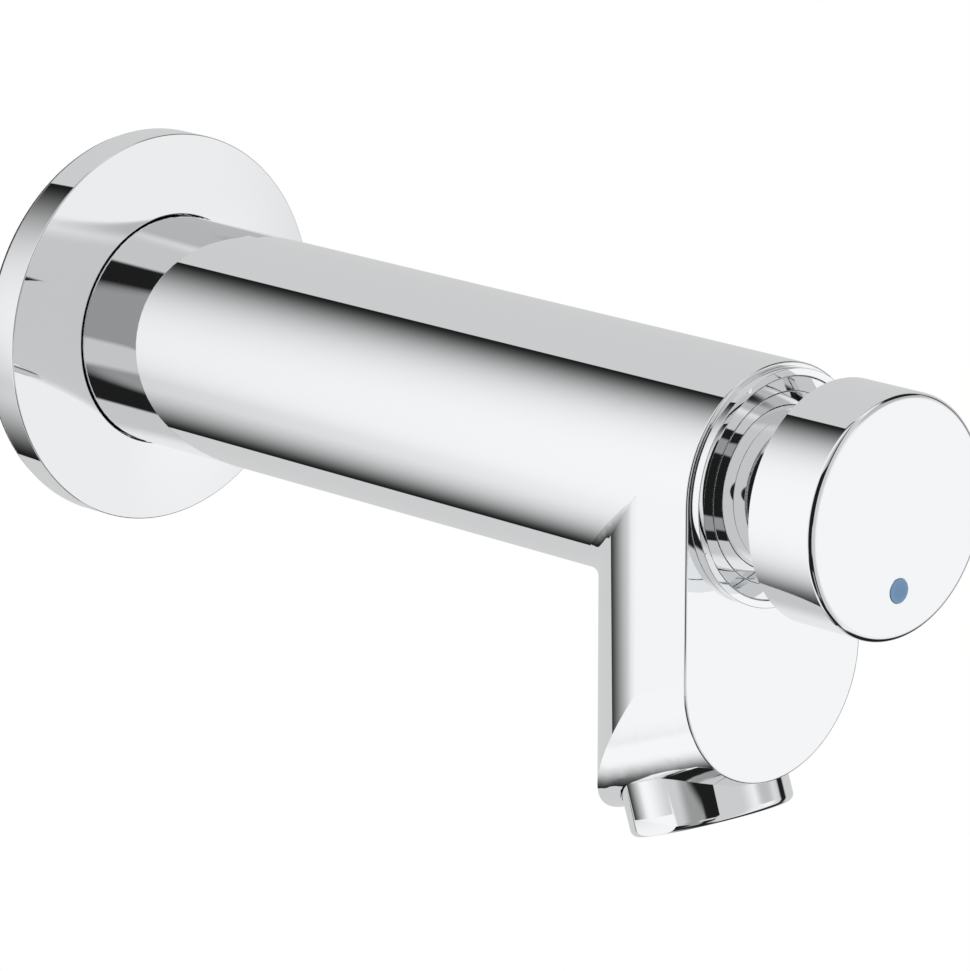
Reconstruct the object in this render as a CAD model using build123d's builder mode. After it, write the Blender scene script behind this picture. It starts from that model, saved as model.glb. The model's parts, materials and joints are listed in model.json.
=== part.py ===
from build123d import *
from math import cos, radians, sin
import os

os.makedirs("parts", exist_ok=True)

# A wall-mounted self-closing tap. Pushing the round button opens it, and a spring and a slow
# piston close it again. All sizes are in millimetres. The wall is the plane Y = 0, the tap's axis
# is the Y axis, and "reach" is the distance out from the wall, along -Y. Z is up.

# Tube and spout boss
tube_radius = 21.0
body_length = 156.5
front_edge_round = 0.4
boss_drop = 30.0
boss_flank = 11.65
boss_throat_round = 4.0

# Steps of the body's bore, from the mouth to the wall end, and the port to the outlet
mouth_wall = 3.45
mouth_depth = 13.0
chamber_step = 1.45
waterway_radius = 8.0
limiter_ledge = 1.0
socket_depth = 13.5
port_radius = 5.8
port_setback = 24.5

# Outlet, whose axis leans forward as it goes down and stands square to the boss's underside
outlet_tilt = 20.0
outlet_setback = 13.55
outlet_stand = 9.87
outlet_thread_radius = 11.95
outlet_thread_length = 8.5
outlet_washer_thickness = 1.6
outlet_washer_width = 3.85
sleeve_shoulder = 2.2
sleeve_height = 9.5
sleeve_groove = 0.3
sleeve_rim_round = 1.3
flats_depth = 0.85
flats_height = 3.2

# Clearances, and how far a cut runs past the surface it opens
thread_clearance = 0.05
running_clearance = 0.05
seal_clearance = 0.05
slip_clearance = 0.1
cartridge_clearance = 0.15
overrun = 1.0

# Inlet connector, its washer, the strainer and the flow limiter
inlet_thread_radius = 10.48
connector_tail = 15.0
flange_start_reach = 1.0
flange_width = 3.52
flange_thickness = 3.0
inlet_washer_thickness = 1.5
thread_lead_in = 1.0
key_width = 12.0
key_depth = 10.0
key_shoulder = 0.5
strainer_rim_thickness = 1.5
strainer_gap = 1.5
strainer_wall = 0.8
strainer_slot_pairs = 5
strainer_slot_width = 1.4
strainer_slot_margin = 2.5
limiter_thickness = 4.0
limiter_hole_radius = 1.1
limiter_hole_circle_radius = 4.6
limiter_holes = 6

# Wall rosette, its grip ring and the wall gasket
rosette_radius = 35.8
rosette_rear_reach = 0.6
rosette_rim_width = 6.7
rosette_face_rise = 1.8
rosette_bore_gap = 0.55
rosette_wall = 1.6
rosette_hub_wall = 4.2
rosette_hub_setback = 1.8
rosette_edge = 0.3
grip_groove_wall = 1.8
grip_groove_width = 2.4
grip_groove_depth = 2.0
gasket_width = 2.9

# Bonnet collar, guide bush and wiper
collar_inset = 0.8
collar_thickness = 1.9
collar_chamfer = 0.5
collar_skirt_wall = 1.9
collar_ring_setback = 2.5
collar_ring_width = 2.0
collar_ring_depth = 1.1
bush_wall = 1.7
bush_head_rim = 0.6
bush_head_thickness = 1.3
bush_head_recess = 0.2
wiper_setback = 0.6
wiper_thickness = 1.4
wiper_depth = 1.1

# Push button, index dot, button carrier and its screw
button_travel = 8.0
button_gap = 11.7
cap_inset = 0.3
cap_length = 14.2
cap_dome = 0.2
cap_edge_round = 1.0
cap_face_wall = 3.0
cap_skirt_wall = 2.05
cap_seat_ledge = 1.0
carrier_plate_setback = 0.8
carrier_plate_thickness = 2.0
neck_wall = 2.25
neck_end_clearance = 0.5
hub_wall = 3.0
hub_depth = 8.0
rod_end_setback = 2.4
screw_shank_radius = 1.45
screw_depth = 7.0
screw_head_radius = 2.8
screw_head_height = 2.2
screw_key_width = 2.5
screw_key_depth = 1.2
dot_radius = 2.1
dot_drop = 12.2
dot_depth = 1.2
dot_rise = 0.12

# Cartridge: a housing in front and a dashpot cup screwed into its back
lip_thickness = 3.0
neck_slack = 0.25
ring_groove_width = 2.4
ring_groove_depth = 1.75
ring_wall = 1.3
waist_depth = 1.95
waist_wall = 2.0
waist_length = 20.0
outflow_setback = 1.0
outflow_windows = 4
outflow_window_width = 9.0
outflow_window_margin = 2.5
joint_wall = 2.7
joint_length = 7.0
cup_gap = 1.0
cup_floor_thickness = 3.0
dashpot_wall = 2.7
dashpot_margin = 2.0
inflow_wall = 1.7
inflow_windows = 6
inflow_window_width = 6.0
inflow_window_margin = 0.8

# Valve seat, valve, and the rod with its seal and guide
seat_bulkhead = 2.0
seat_socket_depth = 2.0
seat_thickness = 3.0
seat_bore_radius = 6.0
seat_width = 3.5
seat_lip_width = 1.0
seat_lip_height = 0.8
valve_gap = 0.1
valve_washer_thickness = 2.7
valve_disc_gap = 2.2
valve_disc_rim = 0.6
valve_disc_rim_height = 1.5
valve_disc_floor = 2.5
rod_radius = 3.0
rod_tail_step = 0.8
rod_tail_stub = 1.1
rod_seal_wall = 1.5
rod_seal_height = 2.6
rod_seal_width = 2.4
guide_head_rim = 1.9
guide_head_thickness = 1.2

# Slow piston with its lip seal, and the timing screw in the floor of the dashpot
piston_setback = 10.9
piston_thickness = 4.0
piston_gap = 0.3
lip_seal_setback = 0.9
lip_seal_width = 2.2
lip_seal_depth = 1.8
lip_seal_flare = 0.6
piston_nut_width = 7.0
piston_nut_thickness = 2.4
timing_screw_radius = 2.5
timing_screw_tail = 3.0
timing_screw_room = 1.0
timing_needle_radius = 0.8
timing_needle_length = 1.5
timing_slot_width = 0.8
timing_slot_depth = 1.2

# Return spring
spring_room = 24.0
spring_wall_gap = 3.3
spring_wire_radius = 0.65
spring_turns = 7

# Aerator
aerator_wall = 1.35
aerator_lip_width = 0.8
aerator_lip_height = 1.4
insert_setback = 1.0
insert_plate = 1.6
insert_wall = 1.3
insert_jet_radius = 0.6
insert_jet_circle_radius = 6.0
insert_jets = 10
screen_thickness = 0.8
screen_bar = 0.6
screen_bars = 5
screen_seat_wall = 1.2

# Shares: the roundness of the soft rings and of the cartridge's windows, of their thinner side, and
# how far the limiter's seat and the strainer's end lie along the waterway, of its whole length
ring_round_share = 0.45
window_corner_share = 0.3
limiter_seat_share = 0.575
strainer_share = 0.36

# Points a turn on which the spring's gap to itself is measured, and a full and a half turn, in degrees
spring_points = 36
full_turn = 360
half_turn = 180

# Reaches of the body's ends and steps
connector_flange_end = flange_start_reach + flange_thickness
body_rear_reach = connector_flange_end + inlet_washer_thickness
body_front_reach = body_rear_reach + body_length
socket_end_reach = body_rear_reach + socket_depth
chamber_end_reach = body_front_reach - mouth_depth

# Reaches of the cartridge, from the shoulder that it hangs on back to its rear end
skirt_start_reach = chamber_end_reach + lip_thickness
waist_end_reach = chamber_end_reach - ring_groove_width - 2 * ring_wall
waist_start_reach = waist_end_reach - waist_length
outflow_start_reach = waist_start_reach - outflow_setback
seat_shoulder_reach = outflow_start_reach - seat_bulkhead
seat_face_reach = seat_shoulder_reach - seat_thickness
seat_lip_reach = seat_face_reach - seat_lip_height
bulkhead_reach = seat_shoulder_reach - seat_socket_depth
joint_start_reach = bulkhead_reach - joint_length
valve_face_reach = seat_lip_reach - valve_gap
washer_start_reach = valve_face_reach - valve_washer_thickness
disc_start_reach = washer_start_reach - valve_disc_floor
piston_end_reach = disc_start_reach - piston_setback
piston_start_reach = piston_end_reach - piston_thickness
cup_floor_reach = piston_start_reach - spring_room
cup_rear_reach = cup_floor_reach - cup_floor_thickness
timing_screw_rear = cup_rear_reach - timing_screw_tail
chamber_start_reach = timing_screw_rear - timing_screw_room
waterway_length = chamber_start_reach - socket_end_reach
limiter_seat_reach = socket_end_reach + limiter_seat_share * waterway_length

# Reaches of the collar and of the button, which is shown released
collar_front_reach = body_front_reach + collar_thickness
cap_rear_reach = collar_front_reach + button_gap
cap_face_reach = cap_rear_reach + cap_length
plate_start_reach = cap_rear_reach + carrier_plate_setback
cap_seat_reach = plate_start_reach + carrier_plate_thickness
rod_end_reach = plate_start_reach - rod_end_setback
screw_tip_reach = rod_end_reach - screw_depth

# Radii, from the tube's inwards
mouth_radius = tube_radius - mouth_wall
chamber_radius = mouth_radius - chamber_step
skirt_radius = mouth_radius - thread_clearance
bush_radius = skirt_radius - collar_skirt_wall
bush_bore = bush_radius - bush_wall
neck_radius = bush_bore - running_clearance
housing_radius = chamber_radius - cartridge_clearance
joint_bore = housing_radius - joint_wall
joint_radius = joint_bore - thread_clearance
dashpot_radius = joint_radius - dashpot_wall
inflow_radius = joint_radius - inflow_wall
rod_seal_radius = rod_radius + rod_seal_height

# Outlet: its axis, and the sleeve's radius and heights above the sleeve's foot
outlet_up = Vector(0, sin(radians(outlet_tilt)), cos(radians(outlet_tilt)))
outlet_foot = Vector(0, outlet_setback - body_front_reach, -boss_drop - tube_radius - outlet_stand)
outlet_axis = Axis(outlet_foot, outlet_up)
sleeve_radius = outlet_thread_radius + sleeve_shoulder
outlet_thread_height = sleeve_height + outlet_thread_length
outlet_socket_height = outlet_thread_height + outlet_washer_thickness

# Planes on which the turned pieces are drawn
axis_side = Plane(origin=(0, 0, 0), x_dir=(0, -1, 0), z_dir=(-1, 0, 0))
outlet_side = Plane(origin=outlet_foot, x_dir=outlet_up, z_dir=(-1, 0, 0))


def across(reach):
    """Plane square to the tap's axis at a reach, with X to the right and Z up, facing outwards."""
    return Plane(origin=(0, -reach, 0), x_dir=(1, 0, 0), z_dir=(0, -1, 0))


def radial(reach, turn):
    """Plane through the tap's axis at a reach, facing outwards at an angle round the axis."""
    facing = (cos(radians(turn)), 0, sin(radians(turn)))
    return Plane(origin=(0, -reach, 0), x_dir=(0, -1, 0), z_dir=facing)


def outlet_level(height):
    """Plane square to the outlet's axis at a height above its foot, facing up the axis."""
    return Plane(origin=outlet_foot + outlet_up * height, x_dir=(1, 0, 0), z_dir=outlet_up)


def section(plane, *points):
    """Closed outline of (distance along the axis, radius) points on a side plane."""
    with BuildSketch(plane) as profile:
        with BuildLine():
            Polyline(*points, close=True)
        make_face()
    return profile.sketch


def tube_section(plane, start, end, inner, outer):
    """Outline of a plain tube between two places on the axis and two radii."""
    return section(plane, (start, inner), (end, inner), (end, outer), (start, outer))


def ring_section(start, end, inner, outer):
    """Outline of a soft ring between two reaches and two radii, with rounded corners."""
    width = end - start
    height = outer - inner
    with BuildSketch(axis_side) as profile:
        with Locations(((start + end) / 2, (inner + outer) / 2)):
            RectangleRounded(width, height, ring_round_share * min(width, height))
    return profile.sketch


def save(piece, name):
    """Labels a finished piece and writes it."""
    piece.part.label = name
    export_step(piece.part, f"parts/{name}.step")


# Tap body: a tube with a spout boss under its front end, hollow for the water and the cartridge
flank_end = boss_flank - body_front_reach
boss_depth = boss_flank + tube_radius
boss_fall = (0, cos(radians(outlet_tilt)), -sin(radians(outlet_tilt)))
port_start = Vector(0, port_setback - body_front_reach, -chamber_radius)
port_line = outlet_foot + outlet_up * outlet_socket_height - port_start
port_top = port_start - port_line.normalized() * port_radius
port_length = port_line.length + port_radius + outlet_washer_thickness
narrow_waterway_radius = waterway_radius - limiter_ledge
socket_radius = inlet_thread_radius + thread_clearance
outlet_socket_radius = outlet_thread_radius + thread_clearance

with BuildPart() as tap_body:
    # Spout boss, round-backed in plan
    with BuildSketch(Plane.XY):
        with BuildLine():
            Polyline(
                (-tube_radius, flank_end),
                (-tube_radius, -body_front_reach),
                (tube_radius, -body_front_reach),
                (tube_radius, flank_end),
            )
            ThreePointArc((tube_radius, flank_end), (0, flank_end + tube_radius), (-tube_radius, flank_end))
        make_face()
    extrude(amount=-(boss_drop + boss_depth + tube_radius))
    # Its underside, a half round that falls towards the back
    with BuildSketch(across(body_front_reach)):
        with BuildLine():
            Polyline(
                (-tube_radius, -boss_drop),
                (-tube_radius, boss_depth),
                (tube_radius, boss_depth),
                (tube_radius, -boss_drop),
            )
            ThreePointArc(
                (tube_radius, -boss_drop),
                (0, -boss_drop - tube_radius),
                (-tube_radius, -boss_drop),
            )
        make_face()
    extrude(amount=boss_depth + tube_radius, dir=boss_fall, mode=Mode.INTERSECT)
    # Tube, whose seam lies along its top, away from the boss's sides
    with BuildSketch(Plane(origin=(0, -body_rear_reach, 0), x_dir=(0, 0, 1), z_dir=(0, -1, 0))):
        Circle(tube_radius)
    extrude(amount=body_front_reach - body_rear_reach)
    # Rounded edges, where the boss leaves the tube and round the front
    fillet(edges().filter_by(GeomType.ELLIPSE), radius=boss_throat_round)
    fillet(faces().sort_by(Axis.Y)[0].outer_wire().edges(), radius=front_edge_round)
    # Stepped waterway, from the wall end to the mouth
    revolve(
        section(
            axis_side,
            (body_rear_reach - overrun, 0),
            (body_rear_reach - overrun, socket_radius),
            (socket_end_reach, socket_radius),
            (socket_end_reach, waterway_radius),
            (limiter_seat_reach, waterway_radius),
            (limiter_seat_reach, narrow_waterway_radius),
            (chamber_start_reach, narrow_waterway_radius),
            (chamber_start_reach, chamber_radius),
            (chamber_end_reach, chamber_radius),
            (chamber_end_reach, mouth_radius),
            (body_front_reach + overrun, mouth_radius),
            (body_front_reach + overrun, 0),
        ),
        axis=Axis.Y,
        mode=Mode.SUBTRACT,
    )
    # Outlet socket in the boss, with a recess round the aerator's sleeve
    revolve(
        section(
            outlet_side,
            (-sleeve_height, 0),
            (-sleeve_height, sleeve_radius + sleeve_groove),
            (sleeve_height, sleeve_radius + sleeve_groove),
            (sleeve_height, outlet_socket_radius),
            (outlet_socket_height, outlet_socket_radius),
            (outlet_socket_height, 0),
        ),
        axis=outlet_axis,
        mode=Mode.SUBTRACT,
    )
    # Port from the cartridge chamber down to the outlet socket
    with BuildSketch(Plane(origin=port_top, x_dir=(1, 0, 0), z_dir=port_line)):
        Circle(port_radius)
    extrude(amount=port_length, mode=Mode.SUBTRACT)
save(tap_body, "tap_body")

# Inlet connector: a threaded nipple with a flange, turned with a hexagon key from the wall end
flange_radius = inlet_thread_radius + flange_width
connector_end_reach = socket_end_reach - strainer_rim_thickness
connector_bore_radius = key_width / 2 - key_shoulder
with BuildPart() as inlet_connector:
    revolve(
        section(
            axis_side,
            (-connector_tail, connector_bore_radius),
            (-connector_tail, inlet_thread_radius - thread_lead_in),
            (-connector_tail + thread_lead_in, inlet_thread_radius),
            (flange_start_reach, inlet_thread_radius),
            (flange_start_reach, flange_radius),
            (connector_flange_end, flange_radius),
            (connector_flange_end, inlet_thread_radius),
            (connector_end_reach - thread_lead_in, inlet_thread_radius),
            (connector_end_reach, inlet_thread_radius - thread_lead_in),
            (connector_end_reach, connector_bore_radius),
        ),
        axis=Axis.Y,
    )
    with BuildSketch(across(-connector_tail)):
        RegularPolygon(key_width / 2, side_count=6, major_radius=False)
    extrude(amount=key_depth, mode=Mode.SUBTRACT)
save(inlet_connector, "inlet_connector")

# Flat washer between the connector's flange and the body
with BuildPart() as inlet_washer:
    revolve(
        tube_section(
            axis_side,
            connector_flange_end,
            body_rear_reach,
            inlet_thread_radius + slip_clearance,
            flange_radius,
        ),
        axis=Axis.Y,
    )
save(inlet_washer, "inlet_washer")

# Dirt strainer: a slotted cup whose rim is held between the connector and the body
strainer_rim_radius = inlet_thread_radius - slip_clearance
strainer_radius = waterway_radius - strainer_gap
strainer_bore = strainer_radius - strainer_wall
strainer_length = strainer_share * waterway_length
strainer_end_reach = socket_end_reach + strainer_length
strainer_slot_length = strainer_length - 2 * strainer_slot_margin
with BuildPart() as dirt_strainer:
    revolve(
        section(
            axis_side,
            (connector_end_reach, strainer_bore),
            (connector_end_reach, strainer_rim_radius),
            (socket_end_reach, strainer_rim_radius),
            (socket_end_reach, strainer_radius),
            (strainer_end_reach, strainer_radius),
            (strainer_end_reach, 0),
            (strainer_end_reach - strainer_wall, 0),
            (strainer_end_reach - strainer_wall, strainer_bore),
        ),
        axis=Axis.Y,
    )
    for pair in range(strainer_slot_pairs):
        turn = half_turn * pair / strainer_slot_pairs
        with BuildSketch(radial((socket_end_reach + strainer_end_reach) / 2, turn)):
            SlotOverall(strainer_slot_length, strainer_slot_width)
        extrude(amount=strainer_radius + overrun, both=True, mode=Mode.SUBTRACT)
save(dirt_strainer, "dirt_strainer")

# Flow limiter: a drilled disc on the step of the waterway
with BuildPart() as flow_limiter:
    with BuildSketch(across(limiter_seat_reach - limiter_thickness)):
        Circle(waterway_radius - slip_clearance)
        Circle(limiter_hole_radius, mode=Mode.SUBTRACT)
        with PolarLocations(limiter_hole_circle_radius, limiter_holes):
            Circle(limiter_hole_radius, mode=Mode.SUBTRACT)
    extrude(amount=limiter_thickness)
save(flow_limiter, "flow_limiter")

# Wall rosette: a shallow cup with a gently conical face and a hub that grips the tube
rosette_bore = tube_radius + rosette_bore_gap
rosette_hub_radius = rosette_bore + rosette_hub_wall
rosette_inner_radius = rosette_radius - rosette_wall
rosette_hub_reach = rosette_rear_reach + rosette_hub_setback
rosette_rim_reach = rosette_rear_reach + rosette_rim_width
rosette_lip_reach = rosette_rim_reach + rosette_face_rise
grip_groove_start = rosette_hub_reach + grip_groove_wall
grip_groove_end = grip_groove_start + grip_groove_width
grip_floor_radius = rosette_bore + grip_groove_depth
with BuildPart() as wall_rosette:
    revolve(
        section(
            axis_side,
            (rosette_rear_reach, rosette_inner_radius),
            (rosette_rear_reach, rosette_radius),
            (rosette_rim_reach - rosette_edge, rosette_radius),
            (rosette_rim_reach, rosette_radius - rosette_edge),
            (rosette_lip_reach, rosette_bore + rosette_edge),
            (rosette_lip_reach - rosette_edge, rosette_bore),
            (grip_groove_end, rosette_bore),
            (grip_groove_end, grip_floor_radius),
            (grip_groove_start, grip_floor_radius),
            (grip_groove_start, rosette_bore),
            (rosette_hub_reach, rosette_bore),
            (rosette_hub_reach, rosette_hub_radius),
            (rosette_lip_reach - rosette_wall, rosette_hub_radius),
            (rosette_rim_reach - rosette_wall, rosette_inner_radius),
        ),
        axis=Axis.Y,
    )
save(wall_rosette, "wall_rosette")

# Soft ring in the rosette's hub, which keeps the rosette where it is pushed along the tube
with BuildPart() as rosette_grip_ring:
    revolve(
        ring_section(
            grip_groove_start + seal_clearance,
            grip_groove_end - seal_clearance,
            tube_radius + seal_clearance,
            grip_floor_radius - seal_clearance,
        ),
        axis=Axis.Y,
    )
save(rosette_grip_ring, "rosette_grip_ring")

# Foam gasket on the back of the rosette's rim
gasket_inner_radius = rosette_inner_radius - gasket_width
gasket_step_radius = rosette_inner_radius - slip_clearance
gasket_front_reach = rosette_hub_reach - slip_clearance
with BuildPart() as wall_gasket:
    revolve(
        section(
            axis_side,
            (0, gasket_inner_radius),
            (0, rosette_radius - rosette_edge),
            (rosette_rear_reach, rosette_radius - rosette_edge),
            (rosette_rear_reach, gasket_step_radius),
            (gasket_front_reach, gasket_step_radius),
            (gasket_front_reach, gasket_inner_radius),
        ),
        axis=Axis.Y,
    )
save(wall_gasket, "wall_gasket")

# Bonnet collar: the ring in the mouth of the tube that clamps the cartridge
collar_radius = tube_radius - collar_inset
collar_bore = bush_radius + thread_clearance
collar_ring_end = body_front_reach - collar_ring_setback
collar_ring_reach = collar_ring_end - collar_ring_width
collar_ring_floor_radius = skirt_radius - collar_ring_depth
bush_head_radius = bush_radius + bush_head_rim
bush_front_reach = collar_front_reach - bush_head_recess
bush_head_start_reach = bush_front_reach - bush_head_thickness
with BuildPart() as bonnet_collar:
    revolve(
        section(
            axis_side,
            (skirt_start_reach, collar_bore),
            (skirt_start_reach, skirt_radius),
            (collar_ring_reach, skirt_radius),
            (collar_ring_reach, collar_ring_floor_radius),
            (collar_ring_end, collar_ring_floor_radius),
            (collar_ring_end, skirt_radius),
            (body_front_reach, skirt_radius),
            (body_front_reach, collar_radius),
            (collar_front_reach - collar_chamfer, collar_radius),
            (collar_front_reach, collar_radius - collar_chamfer),
            (collar_front_reach, bush_head_radius + thread_clearance),
            (bush_head_start_reach, bush_head_radius + thread_clearance),
            (bush_head_start_reach, collar_bore),
        ),
        axis=Axis.Y,
    )
save(bonnet_collar, "bonnet_collar")

# O-ring round the collar's skirt
with BuildPart() as collar_ring:
    revolve(
        ring_section(
            collar_ring_reach + seal_clearance,
            collar_ring_end - seal_clearance,
            collar_ring_floor_radius + seal_clearance,
            mouth_radius - seal_clearance,
        ),
        axis=Axis.Y,
    )
save(collar_ring, "collar_ring")

# Guide bush: the bearing of the button's neck
wiper_end_reach = bush_head_start_reach - wiper_setback
wiper_start_reach = wiper_end_reach - wiper_thickness
wiper_floor_radius = bush_bore + wiper_depth
with BuildPart() as guide_bush:
    revolve(
        section(
            axis_side,
            (skirt_start_reach, bush_bore),
            (skirt_start_reach, bush_radius),
            (bush_head_start_reach, bush_radius),
            (bush_head_start_reach, bush_head_radius),
            (bush_front_reach, bush_head_radius),
            (bush_front_reach, bush_bore),
            (wiper_end_reach, bush_bore),
            (wiper_end_reach, wiper_floor_radius),
            (wiper_start_reach, wiper_floor_radius),
            (wiper_start_reach, bush_bore),
        ),
        axis=Axis.Y,
    )
save(guide_bush, "guide_bush")

# Wiper ring in the bush, which keeps dirt off the neck
with BuildPart() as wiper_ring:
    revolve(
        ring_section(
            wiper_start_reach + seal_clearance,
            wiper_end_reach - seal_clearance,
            neck_radius + seal_clearance,
            wiper_floor_radius - seal_clearance,
        ),
        axis=Axis.Y,
    )
save(wiper_ring, "wiper_ring")

# Push button: a cap with a nearly flat face, open at the back
cap_radius = tube_radius - cap_inset
skirt_inner_radius = cap_radius - cap_skirt_wall
carrier_plate_radius = skirt_inner_radius - thread_clearance
cap_inner_radius = carrier_plate_radius - cap_seat_ledge
cap_inside_reach = cap_face_reach - cap_face_wall
with BuildPart() as push_button:
    with BuildSketch(axis_side):
        with BuildLine():
            Polyline(
                (cap_face_reach, 0),
                (cap_inside_reach, 0),
                (cap_inside_reach, cap_inner_radius),
                (cap_seat_reach, cap_inner_radius),
                (cap_seat_reach, skirt_inner_radius),
                (cap_rear_reach, skirt_inner_radius),
                (cap_rear_reach, cap_radius),
                (cap_face_reach - cap_dome, cap_radius),
            )
            ThreePointArc(
                (cap_face_reach - cap_dome, cap_radius),
                (cap_face_reach - cap_dome / 4, cap_radius / 2),
                (cap_face_reach, 0),
            )
        make_face()
        fillet(vertices().group_by(Axis.Y)[-1].sort_by(Axis.X)[-1], radius=cap_edge_round)
    revolve(axis=Axis.Y)
    # Seat of the index dot
    with BuildSketch(Plane(origin=(0, -cap_face_reach, -dot_drop), x_dir=(1, 0, 0), z_dir=(0, 1, 0))):
        Circle(dot_radius + thread_clearance)
    extrude(amount=dot_depth, mode=Mode.SUBTRACT)
save(push_button, "push_button")

# Index dot: a small coloured plug in the face of the button
with BuildPart() as index_dot:
    dot_foot = (0, dot_depth - cap_face_reach, -dot_drop)
    with BuildSketch(Plane(origin=dot_foot, x_dir=(1, 0, 0), z_dir=(0, -1, 0))):
        Circle(dot_radius)
    extrude(amount=dot_depth + dot_rise)
    fillet(edges().group_by(Axis.Y)[0], radius=dot_rise)
save(index_dot, "index_dot")

# Button carrier: the neck that slides in the bush, a plate for the cap and a hub for the rod
neck_bore = neck_radius - neck_wall
neck_start_reach = chamber_end_reach + button_travel + neck_end_clearance
hub_radius = rod_radius + hub_wall
hub_start_reach = rod_end_reach - hub_depth
with BuildPart() as button_carrier:
    revolve(
        section(
            axis_side,
            (neck_start_reach, neck_bore),
            (neck_start_reach, neck_radius),
            (plate_start_reach, neck_radius),
            (plate_start_reach, carrier_plate_radius),
            (cap_seat_reach, carrier_plate_radius),
            (cap_seat_reach, screw_shank_radius + slip_clearance),
            (rod_end_reach, screw_shank_radius + slip_clearance),
            (rod_end_reach, rod_radius),
            (hub_start_reach, rod_radius),
            (hub_start_reach, hub_radius),
            (plate_start_reach, hub_radius),
            (plate_start_reach, neck_bore),
        ),
        axis=Axis.Y,
    )
save(button_carrier, "button_carrier")

# Carrier screw: holds the carrier on the end of the rod
screw_top_reach = cap_seat_reach + screw_head_height
with BuildPart() as carrier_screw:
    revolve(
        section(
            axis_side,
            (screw_tip_reach, 0),
            (screw_tip_reach, screw_shank_radius),
            (cap_seat_reach, screw_shank_radius),
            (cap_seat_reach, screw_head_radius),
            (screw_top_reach, screw_head_radius),
            (screw_top_reach, 0),
        ),
        axis=Axis.Y,
    )
    with BuildSketch(across(screw_top_reach)):
        RegularPolygon(screw_key_width / 2, side_count=6, major_radius=False)
    extrude(amount=-screw_key_depth, mode=Mode.SUBTRACT)
save(carrier_screw, "carrier_screw")

# Push rod, from the carrier through the seal and the valve to the piston
rod_tail_radius = rod_radius - rod_tail_step
rod_tail_start_reach = piston_start_reach - piston_nut_thickness - rod_tail_stub
with BuildPart() as push_rod:
    revolve(
        section(
            axis_side,
            (rod_tail_start_reach, 0),
            (rod_tail_start_reach, rod_tail_radius),
            (piston_end_reach, rod_tail_radius),
            (piston_end_reach, rod_radius),
            (rod_end_reach, rod_radius),
            (rod_end_reach, screw_shank_radius),
            (screw_tip_reach, screw_shank_radius),
            (screw_tip_reach, 0),
        ),
        axis=Axis.Y,
    )
save(push_rod, "push_rod")

# Cartridge housing: holds the seat and lets the water out through the windows of its waist
lip_radius = mouth_radius - cartridge_clearance
lip_recess_radius = neck_radius + neck_slack
waist_radius = housing_radius - waist_depth
outflow_radius = waist_radius - waist_wall
seat_radius = seat_bore_radius + seat_width
ring_floor_radius = housing_radius - ring_groove_depth
rear_ring_end = waist_start_reach - ring_wall
rear_ring_reach = rear_ring_end - ring_groove_width
front_ring_reach = waist_end_reach + ring_wall
front_ring_end = front_ring_reach + ring_groove_width
rod_seal_start_reach = waist_end_reach + rod_seal_wall
rod_bore = rod_radius + running_clearance
outflow_window_length = waist_length - 2 * outflow_window_margin
with BuildPart() as cartridge_housing:
    revolve(
        section(
            axis_side,
            (joint_start_reach, joint_bore),
            (joint_start_reach, housing_radius),
            (rear_ring_reach, housing_radius),
            (rear_ring_reach, ring_floor_radius),
            (rear_ring_end, ring_floor_radius),
            (rear_ring_end, housing_radius),
            (waist_start_reach, housing_radius),
            (waist_start_reach, waist_radius),
            (waist_end_reach, waist_radius),
            (waist_end_reach, housing_radius),
            (front_ring_reach, housing_radius),
            (front_ring_reach, ring_floor_radius),
            (front_ring_end, ring_floor_radius),
            (front_ring_end, housing_radius),
            (chamber_end_reach, housing_radius),
            (chamber_end_reach, lip_radius),
            (skirt_start_reach, lip_radius),
            (skirt_start_reach, lip_recess_radius),
            (chamber_end_reach, lip_recess_radius),
            (chamber_end_reach, rod_seal_radius),
            (rod_seal_start_reach, rod_seal_radius),
            (rod_seal_start_reach, rod_bore),
            (waist_end_reach, rod_bore),
            (waist_end_reach, outflow_radius),
            (outflow_start_reach, outflow_radius),
            (outflow_start_reach, seat_bore_radius),
            (seat_shoulder_reach, seat_bore_radius),
            (seat_shoulder_reach, seat_radius + thread_clearance),
            (bulkhead_reach, seat_radius + thread_clearance),
            (bulkhead_reach, joint_bore),
        ),
        axis=Axis.Y,
    )
    for window in range(outflow_windows):
        turn = full_turn * window / outflow_windows
        with BuildSketch(radial((waist_start_reach + waist_end_reach) / 2, turn)):
            RectangleRounded(
                outflow_window_length,
                outflow_window_width,
                outflow_window_width * window_corner_share,
            )
        extrude(amount=waist_radius + overrun, mode=Mode.SUBTRACT)
save(cartridge_housing, "cartridge_housing")

# The housing's two O-rings, which part the inlet side, the outlet side and the mouth
for name, start in (("cartridge_rear_ring", rear_ring_reach), ("cartridge_front_ring", front_ring_reach)):
    with BuildPart() as cartridge_ring:
        revolve(
            ring_section(
                start + seal_clearance,
                start + ring_groove_width - seal_clearance,
                ring_floor_radius + seal_clearance,
                chamber_radius - seal_clearance,
            ),
            axis=Axis.Y,
        )
    save(cartridge_ring, name)

# Valve seat: a ring with a raised lip, pushed into the housing's bulkhead
seat_lip_radius = seat_bore_radius + seat_lip_width
with BuildPart() as valve_seat:
    revolve(
        section(
            axis_side,
            (seat_lip_reach, seat_bore_radius),
            (seat_lip_reach, seat_lip_radius),
            (seat_face_reach, seat_lip_radius + slip_clearance),
            (seat_face_reach, seat_radius),
            (seat_shoulder_reach, seat_radius),
            (seat_shoulder_reach, seat_bore_radius),
        ),
        axis=Axis.Y,
    )
save(valve_seat, "valve_seat")

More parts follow.
